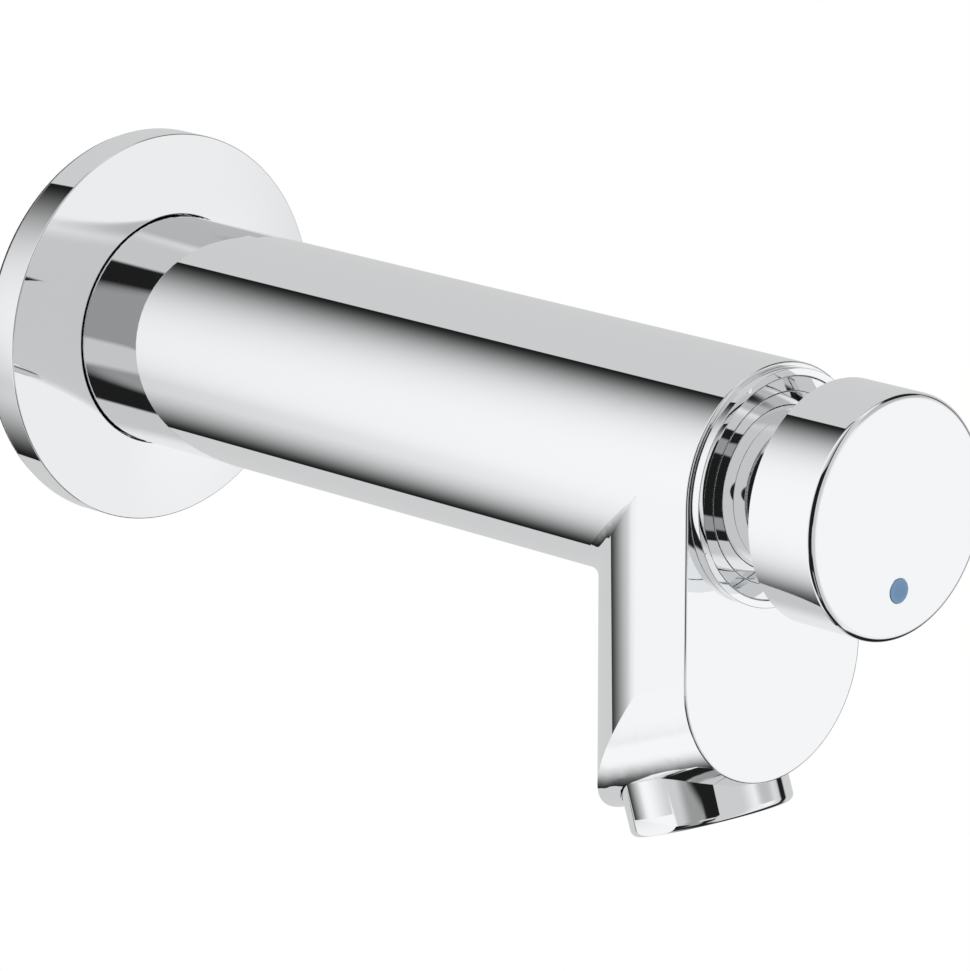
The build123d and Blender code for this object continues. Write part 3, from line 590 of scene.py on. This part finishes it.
@dataclass(frozen=True)
class Foam:
    """Closed-cell foam rubber, cut so that its cells show, with painted shade in its cell hollows."""

    body: Colour = (0.035, 0.035, 0.038)
    # the wall colour is painted light on the cell walls and is also the colour of dust; the body colour left
    # in the hollows is painted shade
    wall: Colour = (0.11, 0.11, 0.115)

    def material(self, effects: Effects) -> bpy.types.Material:
        """Makes the material."""
        box = Paintbox("foam rubber")
        cells = box.bench.add("ShaderNodeTexVoronoi", feature="DISTANCE_TO_EDGE")
        cells.inputs["Scale"].default_value = 1500.0
        box.bench.join(box.place, cells.inputs["Vector"])
        hollow = box.bench.smooth(cells.outputs["Distance"], 0.02, 0.2)
        dust = box.use(effects.dust, Amount=0.3, Scale=200.0)
        walls = box.bench.less(hollow)
        # painted shade: the hollows keep the dark body colour, while the cell walls and dust take the lighter
        # wall colour
        box.colour(box.bench.math("MAXIMUM", walls, dust.outputs["Mask"]), self.body, self.wall)
        box.rough(hollow, 0.85, 0.95)
        box.bump(walls, 0.12)
        return box.material


@dataclass(frozen=True)
class Fibre:
    """Pressed fibre sheet with short strands in it."""

    body: Colour = (0.30, 0.055, 0.035)
    strand: Colour = (0.47, 0.17, 0.12)

    def material(self, effects: Effects) -> bpy.types.Material:
        """Makes the material."""
        box = Paintbox("pressed fibre")
        strands = box.use(effects.polish, Scale=900.0, Stretch=0.2)
        grain = box.use(effects.grain, Scale=1200.0, Cloud=200.0)
        box.colour(box.bench.smooth(strands.outputs["Height"], 0.45, 0.62), self.body, self.strand)
        box.rough(grain.outputs["Tone"], 0.7, 0.9)
        box.bump(strands.outputs["Height"], 0.03)
        return box.material


@dataclass(frozen=True)
class Index:
    """The glossy blue plug, a little deeper in colour towards its middle."""

    middle: Colour = (0.105, 0.255, 0.455)
    rim: Colour = (0.15, 0.31, 0.51)
    centre: tuple[float, float, float] = (0.0, -189.8, -12.2)

    def material(self, effects: Effects) -> bpy.types.Material:
        """Makes the material."""
        box = Paintbox("blue index")
        box.set(Coat_Weight=0.6, Coat_Roughness=0.05)
        distance = box.bench.vector("DISTANCE", box.place, Vector(self.centre) * MM)
        edge = box.bench.smooth(distance.outputs["Value"], 1.0 * MM, 2.1 * MM)
        grain = box.use(effects.grain, Scale=1500.0, Cloud=400.0)
        box.colour(edge, self.middle, self.rim)
        box.rough(grain.outputs["Tone"], 0.16, 0.26)
        box.bump(grain.outputs["Height"], 0.002)
        return box.material


class Finishes:
    """Every finish of the tap, by slot."""

    def __init__(self, effects: Effects) -> None:
        """Makes every material."""
        makers = {
            Slot.CHROME: Chrome(),
            Slot.BRASS: Metal("turned brass", (0.62, 0.43, 0.17), (0.86, 0.66, 0.33), (0.44, 0.29, 0.11)),
            Slot.STEEL: Metal(
                "stainless steel", (0.58, 0.58, 0.59), (0.8, 0.8, 0.81), (0.45, 0.45, 0.46), roughness=0.22
            ),
            Slot.RUBBER: Moulded(
                "black rubber",
                body=(0.018, 0.018, 0.02),
                paler=(0.032, 0.032, 0.034),
                dusty=(0.12, 0.12, 0.12),
                roughness=0.55,
                grain=1400.0,
                depth=0.01,
                sheen=0.1,
            ),
            Slot.FOAM: Foam(),
            Slot.FIBRE: Fibre(),
            Slot.MOULDING: Moulded(
                "white acetal",
                body=(0.66, 0.66, 0.62),
                paler=(0.73, 0.73, 0.7),
                dusty=(0.5, 0.49, 0.46),
                roughness=0.38,
                grain=1100.0,
                depth=0.006,
            ),
            Slot.INDEX: Index(),
        }
        self.by_slot = {slot: maker.material(effects) for slot, maker in makers.items()}

    def of(self, slot: Slot) -> bpy.types.Material:
        """The material of a slot."""
        return self.by_slot[slot]

    def dress_solids(self) -> None:
        """Gives every carried-over solid the finish of its slot in the record."""
        for part in frame["record"]["subparts"]:
            mesh = NODES[part["node"]].data
            mesh.materials.clear()
            mesh.materials.append(self.of(Slot(part["material_slot"])))
        log.info("solids dressed: %d", len(NODES))


# The tap's pieces


AXIS = Lathe(Vector((0, 0, 0)), Vector((0, -1, 0)))


@dataclass
class WallCover:
    """The rosette: a shallow turned cup with a gently conical face, in millimetres."""

    finishes: Finishes
    radius: float = 35.8
    rear: float = 0.6
    rim: float = 7.3
    lip: float = 9.1
    bore: float = 21.55
    mouth: float = 21.22
    wall: float = 1.6
    hub_wall: float = 4.2
    hub_rear: float = 2.4
    groove: tuple[float, float, float] = (4.2, 6.6, 23.55)
    edge: float = 0.25

    def build(self) -> None:
        """Turns the rosette, rounds its edges and dresses it."""
        inner = self.radius - self.wall
        start, end, floor = self.groove
        cover = AXIS.turn(
            "rosette_cover",
            [
                (self.rear, inner),
                (self.rear, self.radius),
                (self.rim, self.radius),
                (self.lip, self.mouth),
                (end, self.mouth),
                (end, floor),
                (start, floor),
                (start, self.bore),
                (self.hub_rear, self.bore),
                (self.hub_rear, self.bore + self.hub_wall),
                (self.lip - self.wall, self.bore + self.hub_wall),
                (self.rim - self.wall, inner),
            ],
        )
        ease_edges(cover, self.edge)
        seat(cover, Body.ROSETTE, Slot.CHROME, self.finishes, "wall_rosette")


@dataclass
class Bonnet:
    """The collar in the tube's mouth and the guide bush inside it, in millimetres."""

    finishes: Finishes
    front: float = 163.9
    step: float = 162.0
    tail: float = 152.0
    radius: float = 20.2
    skirt: float = 17.5
    bore: float = 15.65
    head: float = 16.25
    head_rear: float = 162.4
    ring: tuple[float, float, float] = (157.5, 159.5, 16.4)
    bush_radius: float = 15.6
    bush_head: float = 16.2
    bush_bore: float = 13.9
    wiper: tuple[float, float, float] = (160.4, 161.8, 15.0)
    rim: float = 18.9
    rim_height: float = 0.25
    rim_slope: float = 0.1
    dish: float = 8.0
    bush_stand: float = 0.12
    edge: float = 0.22
    fine_edge: float = 0.08

    def _dish(self, radius: float) -> float:
        """How far out the dished face lies at a radius."""
        return self.front - self.rim_height - (self.rim - radius) * tan(radians(self.dish))

    def build(self) -> None:
        """Turns the two rings, rounds their edges and dresses them."""
        start, end, floor = self.ring
        collar = AXIS.turn(
            "collar",
            [
                (self.tail, self.bore),
                (self.tail, self.skirt),
                (start, self.skirt),
                (start, floor),
                (end, floor),
                (end, self.skirt),
                (self.step, self.skirt),
                (self.step, self.radius),
                (self.front, self.radius),
                (self.front, self.rim),
                (self.front - self.rim_height, self.rim - self.rim_slope),
                (self._dish(self.head), self.head),
                (self.head_rear, self.head),
                (self.head_rear, self.bore),
            ],
        )
        ease_edges(collar, self.edge)
        seat(collar, Body.TAP, Slot.CHROME, self.finishes, "bonnet_collar")
        start, end, floor = self.wiper
        bush = AXIS.turn(
            "neck_bush",
            [
                (self.tail, self.bush_bore),
                (self.tail, self.bush_radius),
                (self.head_rear, self.bush_radius),
                (self.head_rear, self.bush_head),
                (self._dish(self.bush_head) + self.bush_stand, self.bush_head),
                (self._dish(self.bush_bore) + self.bush_stand, self.bush_bore),
                (end, self.bush_bore),
                (end, floor),
                (start, floor),
                (start, self.bush_bore),
            ],
        )
        ease_edges(bush, self.fine_edge)
        seat(bush, Body.TAP, Slot.CHROME, self.finishes, "guide_bush")


@dataclass
class Button:
    """The button's cap: a skirt and a nearly flat face with a seat for the blue plug, in millimetres."""

    finishes: Finishes
    radius: float = 20.7
    rear: float = 175.6
    face: float = 189.8
    dome: float = 0.2
    edge_round: float = 1.15
    skirt: float = 18.65
    ledge_reach: float = 178.4
    ledge: float = 17.6
    floor: float = 186.8
    middle: float = 0.4
    plug_radius: float = 2.15
    plug_drop: float = 12.2
    plug_depth: float = 1.2
    edge: float = 0.12

    def _edge(self, steps: int = 10) -> list[tuple[float, float]]:
        """Corners of the round between the skirt and the face."""
        turns = [pi / 2 * step / steps for step in range(steps + 1)]
        reach = self.face - self.dome - self.edge_round
        centre = self.radius - self.edge_round
        return [(reach + self.edge_round * sin(turn), centre + self.edge_round * cos(turn)) for turn in turns]

    def _face(self, rings: int = 6) -> list[tuple[float, float]]:
        """Corners of the domed face from its edge to its middle."""
        outer = self.radius - self.edge_round
        radii = [outer * (rings - ring) / rings for ring in range(1, rings)] + [self.middle]
        return [(self.face - self.dome * (radius / outer) ** 2, radius) for radius in radii]

    def build(self) -> None:
        """Turns the cap, sinks the plug's seat and dresses it."""
        cap = AXIS.turn(
            "button_cap",
            [
                (self.floor, self.middle),
                (self.floor, self.ledge),
                (self.ledge_reach, self.ledge),
                (self.ledge_reach, self.skirt),
                (self.rear, self.skirt),
                (self.rear, self.radius),
                *self._edge(),
                *self._face(),
            ],
            ring=False,
        )
        drill = new_piece(
            bpy.ops.mesh.primitive_cylinder_add,
            vertices=64,
            radius=self.plug_radius * MM,
            depth=2 * self.plug_depth * MM,
            location=(0, -self.face * MM, -self.plug_drop * MM),
            rotation=(pi / 2, 0, 0),
        )
        carve(cap, drill)
        ease_edges(cap, self.edge, 2, 35.0)
        seat(cap, Body.BUTTON, Slot.CHROME, self.finishes, "push_button")


@dataclass
class Outlet:
    """The aerator's sleeve with its spanner flats and the screen in it, in millimetres."""

    finishes: Finishes
    tilt: float = 20.0
    foot: tuple[float, float, float] = (0.0, -148.45, -60.87)
    radius: float = 14.15
    height: float = 9.5
    thread: float = 11.95
    thread_top: float = 18.0
    bore: float = 10.6
    lip: float = 9.8
    lip_height: float = 1.4
    rim_round: float = 1.3
    flats_depth: float = 0.85
    flats_height: float = 3.2
    flats_overrun: float = 2.0
    edge: float = 0.18
    edge_limit: float = 35.0
    screen_edge: float = 0.15
    screen_radius: float = 10.45
    screen_opening: float = 9.4
    screen_thickness: float = 0.8
    mesh_step: float = 1.45
    mesh_bar: float = 0.42
    mesh_overlap: float = 0.4

    def __post_init__(self) -> None:
        """Works out the tilted axis."""
        up = Vector((0, sin(radians(self.tilt)), cos(radians(self.tilt))))
        self.lathe = Lathe(Vector(self.foot), up)

    def _rim(self, steps: int = 6) -> list[tuple[float, float]]:
        """Corners of the sleeve's rounded lower rim, from its inside to its outside."""
        turns = [pi / 2 * step / steps for step in range(steps + 1)]
        centre = self.radius - self.rim_round
        return [(self.rim_round * (1 - cos(turn)), centre + self.rim_round * sin(turn)) for turn in turns]

    def build(self) -> None:
        """Builds the sleeve and the screen."""
        self._sleeve()
        self._screen()

    def _sleeve(self) -> None:
        """Turns the sleeve, cuts its two flats, rounds its edges and dresses it."""
        sleeve = self.lathe.turn(
            "aerator_sleeve",
            [
                (0, self.lip),
                *self._rim(),
                (self.height, self.radius),
                (self.height, self.thread),
                (self.thread_top, self.thread),
                (self.thread_top, self.bore),
                (self.lip_height, self.bore),
                (self.lip_height, self.lip),
            ],
        )
        for side in (-1, 1):
            reach = self.radius - self.flats_depth + self.radius / 2
            level = (self.flats_height - self.flats_overrun) / 2
            block = new_piece(
                bpy.ops.mesh.primitive_cube_add,
                scale=Vector((self.radius, 2 * self.radius, self.flats_height + self.flats_overrun)) * MM,
                size=1.0,
                location=self.lathe.place(level) + Vector((side * reach * MM, 0, 0)),
                rotation=(-radians(self.tilt), 0, 0),
            )
            carve(sleeve, block)
        ease_edges(sleeve, self.edge, limit=self.edge_limit)
        seat(sleeve, Body.TAP, Slot.CHROME, self.finishes, "aerator_housing")

    def _screen(self) -> None:
        """Makes the screen: a fine square mesh in a moulded ring."""
        level = self.lip_height
        top = level + self.screen_thickness
        ring = self.lathe.turn(
            "spray_screen",
            [
                (level, self.screen_opening),
                (level, self.screen_radius),
                (top, self.screen_radius),
                (top, self.screen_opening),
            ],
        )
        ease_edges(ring, self.screen_edge, 2)
        steps = int(2 * self.screen_radius / self.mesh_step) + 1
        centre = self.lathe.place(level + self.screen_thickness / 2)
        net = new_piece(
            bpy.ops.mesh.primitive_grid_add,
            x_subdivisions=steps,
            y_subdivisions=steps,
            size=steps * self.mesh_step * MM,
            location=centre,
            rotation=(-radians(self.tilt), 0, 0),
        )
        bpy.ops.object.mode_set(mode="EDIT")
        limit = (self.screen_opening + self.mesh_overlap) * MM
        pick_vertices(net, lambda place: (place - centre).length > limit)
        bpy.ops.mesh.delete(type="VERT")
        bpy.ops.object.mode_set(mode="OBJECT")
        work(net, "WIREFRAME", thickness=self.mesh_bar * MM, use_even_offset=False)
        unite(ring, net)
        seat(ring, Body.TAP, Slot.MOULDING, self.finishes, "outlet_screen")


@dataclass
class Inlet:
    """The nipple that screws into the wall fitting, with its cut threads, in millimetres."""

    finishes: Finishes
    crest: float = 10.48
    pitch: float = 1.814
    depth: float = 1.162
    tail: float = -15.0
    flange: tuple[float, float] = (1.0, 4.0)
    flange_radius: float = 14.0
    front: float = 17.5
    bore: float = 5.5
    key_radius: float = 6.93
    key_depth: float = 10.0
    lead_in: float = 1.3
    chamfer: float = 0.15
    edge: float = 0.25
    sunk: float = 0.02
    turn_steps: int = 64
    crest_share: float = 0.08
    run_in_shares: tuple[float, ...] = (0.0, 0.33, 0.66)
    run_in_step: float = 0.34
    run_in_fall: float = 0.7
    overlap: float = 0.6
    foot_margin: float = 0.2

    def build(self) -> None:
        """Turns the nipple, cuts its key socket, screws on its two threads and joins them."""
        root = self.crest - self.depth
        core = AXIS.turn(
            "inlet_nipple",
            [
                (self.tail, self.bore),
                (self.tail, root - self.chamfer),
                (self.tail + self.chamfer, root),
                (self.flange[0], root),
                (self.flange[0], self.flange_radius),
                (self.flange[1], self.flange_radius),
                (self.flange[1], root),
                (self.front, root),
                (self.front, self.bore),
            ],
        )
        carve(core, self._key())
        ease_edges(core, self.edge, 2)
        threads = [
            self._thread("wall_thread", self.tail, self.flange[0], (True, False)),
            self._thread("body_thread", self.flange[1], self.front, (False, True)),
        ]
        unite(core, *threads)
        seat(core, Body.TAP, Slot.BRASS, self.finishes, "inlet_connector")

    def _thread(self, name: str, start: float, end: float, tapered: tuple[bool, bool]) -> Piece:
        """Screws a V-shaped tooth along the axis.

        Args:
            name: the new object's name.
            start: where the thread starts.
            end: where it ends.
            tapered: whether its start and its end run in gently.

        Returns:
            The helical tooth.
        """
        turns = int((end - start) / self.pitch)
        root = self.crest - self.depth - self.sunk
        first = start + (end - start - turns * self.pitch) / 2
        tooth = new_piece(bpy.ops.mesh.primitive_plane_add, name, size=1.0, location=(0, 0, 0))
        half = self.pitch / 2
        flat = self.pitch * self.crest_share
        corners = (
            (first, root),
            (first + half - flat, self.crest),
            (first + half + flat, self.crest),
            (first + 2 * half, root),
        )
        for vertex, (reach, radius) in zip((0, 1, 3, 2), corners):
            tooth.data.vertices[vertex].co = Vector((radius, -reach, 0)) * MM
        bpy.ops.object.mode_set(mode="EDIT")
        bpy.ops.mesh.select_all(action="SELECT")
        bpy.ops.mesh.delete(type="ONLY_FACE")
        bpy.ops.object.mode_set(mode="OBJECT")
        work(
            tooth,
            "SCREW",
            axis="Y",
            steps=self.turn_steps,
            render_steps=self.turn_steps,
            iterations=turns - 1,
            screw_offset=-self.pitch * MM,
            use_merge_vertices=True,
        )
        outward(tooth)
        for at_end, wanted in zip((start, end), tapered):
            if wanted:
                self._run_in(tooth, at_end, 1 if at_end == start else -1)
        bpy.ops.object.shade_smooth_by_angle(angle=radians(30))
        return tooth

    def _run_in(self, tooth: Piece, end: float, way: int) -> None:
        """Takes a thread's crest down in steps towards its end, as a chamfer does.

        Args:
            tooth: the helical tooth.
            end: where the thread ends.
            way: 1 where the thread goes on from there along the axis, -1 where it comes from there.
        """
        foot = (self.crest - self.depth + self.foot_margin) * MM
        pick(tooth)
        bpy.ops.object.mode_set(mode="EDIT")
        for share in self.run_in_shares:
            near = end + way * self.lead_in * share
            far = end + way * self.lead_in * (share + self.run_in_step)
            low, high = sorted((near, far))
            if share == 0:
                low -= self.overlap

            def on_crest(place: Vector) -> bool:
                """Whether a place lies in this step and above the tooth's foot."""
                return low <= -place.y / MM <= high and Vector((place.x, place.z)).length > foot

            if pick_vertices(tooth, on_crest):
                scale = 1 - (1 - share) * self.run_in_fall * self.depth / self.crest
                bpy.ops.transform.resize(value=(scale, 1, scale), center_override=(0, 0, 0))
        bpy.ops.object.mode_set(mode="OBJECT")

    def _key(self) -> Piece:
        """Makes the hexagonal key that cuts its socket into the nipple's tail."""
        return new_piece(
            bpy.ops.mesh.primitive_cylinder_add,
            vertices=6,
            radius=self.key_radius * MM,
            depth=2 * self.key_depth * MM,
            location=(0, -self.tail * MM, 0),
            rotation=(pi / 2, 0, 0),
        )


# The studio


@dataclass(frozen=True)
class Strip:
    """An upright card of the tent: where it starts and ends, its soft edge and its brightness."""

    start: float
    end: float
    soft: float
    shade: float

    def mask(self, bench: Bench, bearing: Socket) -> Socket:
        """Where the card hangs."""
        rise = (self.start, self.start + self.soft)
        fall = (self.end - self.soft, self.end)
        return bench.band(bearing, rise, fall)


@dataclass(frozen=True)
class Disc:
    """A round card of the tent.

    It is given by the direction of its middle, the nearness to it (1 is on it) at which the card
    starts and is full, and its brightness.
    """

    middle: Place
    rim: float
    full: float
    shade: float

    def mask(self, bench: Bench, way: Socket) -> Socket:
        """Where the card hangs."""
        near = bench.vector("DOT_PRODUCT", way, Vector(self.middle).normalized())
        return bench.smooth(near.outputs["Value"], self.rim, self.full)


def grey(shade: float) -> Colour:
    """Light that shows as a given brightness of the picture."""
    return (((shade + 0.055) / 1.055) ** 2.4,) * 3


@dataclass
class ReflectingTent:
    """A pale tent that only the tap's gloss sees, with a few plain cards hung in it.

    Bearings are degrees round the upright from the right, past the wall side at 90, heights are
    the upward share of a direction, and brightness is what the picture shows. Left of the wall
    side's middle a card fades from black to white. Its edge and its fading are shifted by some
    degrees straight under the tap and just below its level. The strips lean a little where they
    are high or low, and a lighter gap is left in the black one low down.
    """

    radius: float = 6.0
    centre: Place = (0.0, -0.1, 0.0)
    glow: float = 1.08

    cloth: float = 0.8
    strips: tuple[Strip, ...] = (
        Strip(-175.0, -130.0, 15.0, 0.6),
        Strip(-145.0, -123.0, 4.0, 0.12),
        Strip(-90.0, -20.0, 25.0, 0.93),
        Strip(-23.0, -4.0, 5.0, 0.12),
    )
    lean: float = -8.0
    lean_heights: Span = (0.2, 0.75)

    gap_middle: float = -136.0
    gap_reach: float = 11.0
    gap_bottom: Span = (-0.46, -0.38)
    gap_top: Span = (-0.13, -0.06)

    faded_card: Strip = Strip(90.0, 180.0, 50.0, 0.97)
    black: float = 0.1
    edge_soft: float = 0.3
    under_depths: Span = (0.74, 0.86)
    under_fade: float = 24.0
    under_edge: float = -22.0
    level_bottom: Span = (-0.5, -0.36)
    level_top: Span = (-0.2, 0.05)
    level_end: Span = (124.0, 134.0)
    level_fade: float = -4.5
    level_edge: float = 8.5

    discs: tuple[Disc, ...] = (
        Disc((0.63, -0.57, 0.53), 0.87, 0.93, 0.73),
        Disc((0.7, -0.26, 0.67), 0.94, 0.97, 0.12),
        Disc((0.55, 0.0, -0.83), 0.88, 0.94, 0.12),
        Disc((-0.15, -0.05, -0.98), 0.93, 0.96, 0.12),
        Disc((-0.7, 0.02, -0.71), 0.93, 0.965, 0.12),
        Disc((0.68, -0.69, -0.26), 0.976, 0.988, 0.965),
    )

    flag_place: Place = (-0.0665, -0.203, 0.006)
    flag_size: Span = (0.0515, 0.108)
    flag_bearing: float = -63.4
    flag_fade: float = 0.006
    flag_shade: float = 0.12

    def _front_side(self, bench: Bench, bearing: Socket, z: Socket) -> Socket:
        """Hangs the upright strips before the cloth and leaves the gap in them.

        Args:
            bench: the tent's bench.
            bearing: the bearing in degrees.
            z: the height.

        Returns:
            The light of the front half.
        """
        away = bench.smooth(bench.math("ABSOLUTE", z), *self.lean_heights)
        leaning = bench.math("MULTIPLY_ADD", away, self.lean, bearing)
        light: object = grey(self.cloth)
        for strip in self.strips:
            light = bench.mix(strip.mask(bench, leaning), light, grey(strip.shade))
        low = bench.band(z, self.gap_bottom, self.gap_top)
        off = bench.math("ABSOLUTE", bench.math("SUBTRACT", bearing, self.gap_middle))
        gap = bench.math("MULTIPLY", low, bench.math("LESS_THAN", off, self.gap_reach))
        return bench.mix(gap, light, grey(self.cloth))

    def _wall_side(self, bench: Bench, bearing: Socket, z: Socket) -> Socket:
        """Hangs the faded card, with a sharp edge to the cloth right of it.

        Args:
            bench: the tent's bench.
            bearing: the bearing in degrees.
            z: the height.

        Returns:
            The light of the wall half.
        """
        card = self.faded_card
        full = card.start + card.soft
        under = bench.smooth(bench.math("MULTIPLY", z, -1.0), *self.under_depths)
        level = bench.band(z, self.level_bottom, self.level_top)
        level = bench.math("MULTIPLY", level, bench.less(bench.smooth(bearing, *self.level_end)))
        turned = bench.math("MULTIPLY_ADD", under, self.under_fade, bearing)
        turned = bench.math("MULTIPLY_ADD", level, self.level_fade, turned)
        left = bench.mix(bench.smooth(turned, card.start, full), grey(self.black), grey(card.shade))
        left = bench.mix(bench.smooth(turned, full, card.end), left, grey(self.cloth))
        edge = bench.math("MULTIPLY_ADD", level, self.level_edge, card.start)
        edge = bench.math("MULTIPLY_ADD", under, self.under_edge, edge)
        off = bench.math("SUBTRACT", bearing, edge)
        past = bench.smooth(off, -self.edge_soft, self.edge_soft)
        return bench.mix(past, grey(self.cloth), left)

    def _light(self, bench: Bench) -> Socket:
        """Joins both halves of the tent and hangs the round cards in it."""
        out = bench.vector("SUBTRACT", bench.place(), self.centre)
        way = bench.vector("NORMALIZE", out.outputs[0]).outputs[0]
        x, y, z = bench.parts(way).values()
        bearing = bench.math("MULTIPLY", bench.math("ARCTAN2", y, x), 180 / pi)
        front = self._front_side(bench, bearing, z)
        wall = self._wall_side(bench, bearing, z)
        light = bench.mix(bench.math("GREATER_THAN", y, 0.0), front, wall)
        for disc in self.discs:
            light = bench.mix(disc.mask(bench, way), light, grey(disc.shade))
        return light

    def hang(self) -> None:
        """Makes the tent with its cards, and the flag."""
        tent = new_piece(
            bpy.ops.mesh.primitive_uv_sphere_add,
            "reflecting_tent",
            segments=64,
            ring_count=32,
            radius=self.radius,
            location=self.centre,
        )
        self._only_gloss(tent)
        material, bench = bare_material("tent cards")
        bench.surface(bench.add("ShaderNodeEmission", self._light(bench), self.glow).outputs[0])
        tent.data.materials.append(material)
        self._hang_flag()

    @staticmethod
    def _only_gloss(card: Piece) -> None:
        """Hides a card from everything but gloss."""
        for kind in ("camera", "diffuse", "transmission", "volume_scatter", "shadow"):
            setattr(card, f"visible_{kind}", False)

    def _hang_flag(self) -> None:
        """Hangs a small black flag that darkens the collar and the rounded edges."""
        flag = new_piece(
            bpy.ops.mesh.primitive_plane_add,
            "black_flag",
            scale=(*self.flag_size, 1),
            size=1.0,
            location=self.flag_place,
            rotation=(pi / 2, 0, radians(self.flag_bearing)),
        )
        self._only_gloss(flag)
        material, bench = bare_material("black flag")
        height = bench.parts(bench.place())["Z"]
        off = bench.math("ABSOLUTE", bench.math("SUBTRACT", height, self.flag_place[2]))
        end = self.flag_size[1] / 2
        faded = bench.smooth(off, end - self.flag_fade, end)
        black = bench.add("ShaderNodeEmission", (*grey(self.flag_shade), 1.0))
        clear = bench.add("ShaderNodeBsdfTransparent")
        bench.surface(bench.blend(faded, black.outputs[0], clear.outputs[0]))
        flag.data.materials.append(material)


@dataclass(frozen=True)
class Lamp:
    """A soft square lamp."""

    name: str
    place: Place
    size: float
    power: float


@dataclass
class Studio:
    """Floor, lamps, world and camera, in metres, and the tent that hangs over them."""

    middle: Place = (0.0, -0.1, 0.0)
    floor_level: float = -0.42
    floor_size: float = 8.0
    floor_colour: Colour = (0.86, 0.86, 0.86)
    shadow_reach: Span = (0.2, 0.52)
    eye: Place = (-0.683675, -0.810059, 0.253638)
    heading: float = 43.612
    pitch: float = 15.081
    lens: float = 219.09
    lamps: tuple[Lamp, ...] = (
        Lamp("key", (-1.0, -1.0, 1.5), 1.4, 16.0),
        Lamp("fill", (1.3, -0.7, 0.9), 1.4, 7.0),
    )
    tent: ReflectingTent = field(default_factory=ReflectingTent)

    def build(self) -> None:
        """Sets up everything that isn't the tap."""
        self._camera()
        self._floor()
        self.tent.hang()
        self._lamps()
        self._world()

    def _camera(self) -> None:
        """Places the camera at the photograph's viewing angle."""
        data = bpy.data.cameras.new("camera")
        data.lens = self.lens
        data.clip_end = 50.0
        camera = bpy.data.objects.new("camera", data)
        camera.location = self.eye
        camera.rotation_euler = (radians(90 - self.pitch), 0, radians(-self.heading))
        bpy.context.scene.collection.objects.link(camera)
        bpy.context.scene.camera = camera
        view = bpy.context.scene.view_settings
        view.view_transform = "Standard"

    def _floor(self) -> None:
        """Lays a pale floor that keeps the shadow and turns white further off."""
        floor = new_piece(
            bpy.ops.mesh.primitive_circle_add,
            "floor",
            vertices=96,
            radius=self.floor_size / 2,
            fill_type="NGON",
            location=(0, 0, self.floor_level),
        )
        floor.visible_glossy = False
        material, bench = bare_material("pale floor")
        far = bench.vector("DISTANCE", bench.place(), (*self.middle[:2], self.floor_level))
        beyond = bench.smooth(far.outputs["Value"], *self.shadow_reach)
        seen = bench.add("ShaderNodeLightPath")
        whiten = bench.math("MULTIPLY", beyond, seen.outputs["Is Camera Ray"])
        pale = bench.add("ShaderNodeBsdfDiffuse", (*self.floor_colour, 1.0))
        white = bench.add("ShaderNodeEmission")
        clear = bench.add("ShaderNodeBsdfTransparent")
        side = bench.add("ShaderNodeNewGeometry")
        lit = bench.blend(whiten, pale.outputs[0], white.outputs[0])
        bench.surface(bench.blend(side.outputs["Backfacing"], lit, clear.outputs[0]))
        floor.data.materials.append(material)

    def _lamps(self) -> None:
        """Hangs two large soft lamps that light colours but don't show in the chrome."""
        for kind in self.lamps:
            data = bpy.data.lights.new(kind.name, "AREA")
            data.size = kind.size
            data.energy = kind.power
            lamp = bpy.data.objects.new(kind.name, data)
            lamp.location = kind.place
            back = Vector(kind.place) - Vector(self.middle)
            lamp.rotation_euler = back.to_track_quat("Z", "Y").to_euler()
            lamp.visible_glossy = False
            bpy.context.scene.collection.objects.link(lamp)

    def _world(self) -> None:
        """Makes the world white where it is seen, and plain soft light elsewhere."""
        world = bpy.data.worlds.new("studio")
        bpy.context.scene.world = world
        world.use_nodes = True
        bench = Bench(world.node_tree)
        shown = bench.add("ShaderNodeLightPath")
        either = bench.math("ADD", shown.outputs["Is Camera Ray"], shown.outputs["Is Glossy Ray"])
        either = bench.math("ADD", either, shown.outputs["Is Transmission Ray"], clamp=True)
        background = world.node_tree.nodes["Background"]
        background.inputs["Color"].default_value = (1, 1, 1, 1)
        bench.join(bench.math("MULTIPLY_ADD", either, 0.5, 0.5), background.inputs["Strength"])


def main() -> None:
    """Builds the tap's pieces in order, then the studio."""
    effects = Effects()
    finishes = Finishes(effects)
    finishes.dress_solids()
    for assembly in (WallCover, Bonnet, Button, Outlet, Inlet):
        assembly(finishes).build()
        log.info("%s built", assembly.__name__)
    Studio().build()
    deselect()


if __name__ == "__main__":
    main()
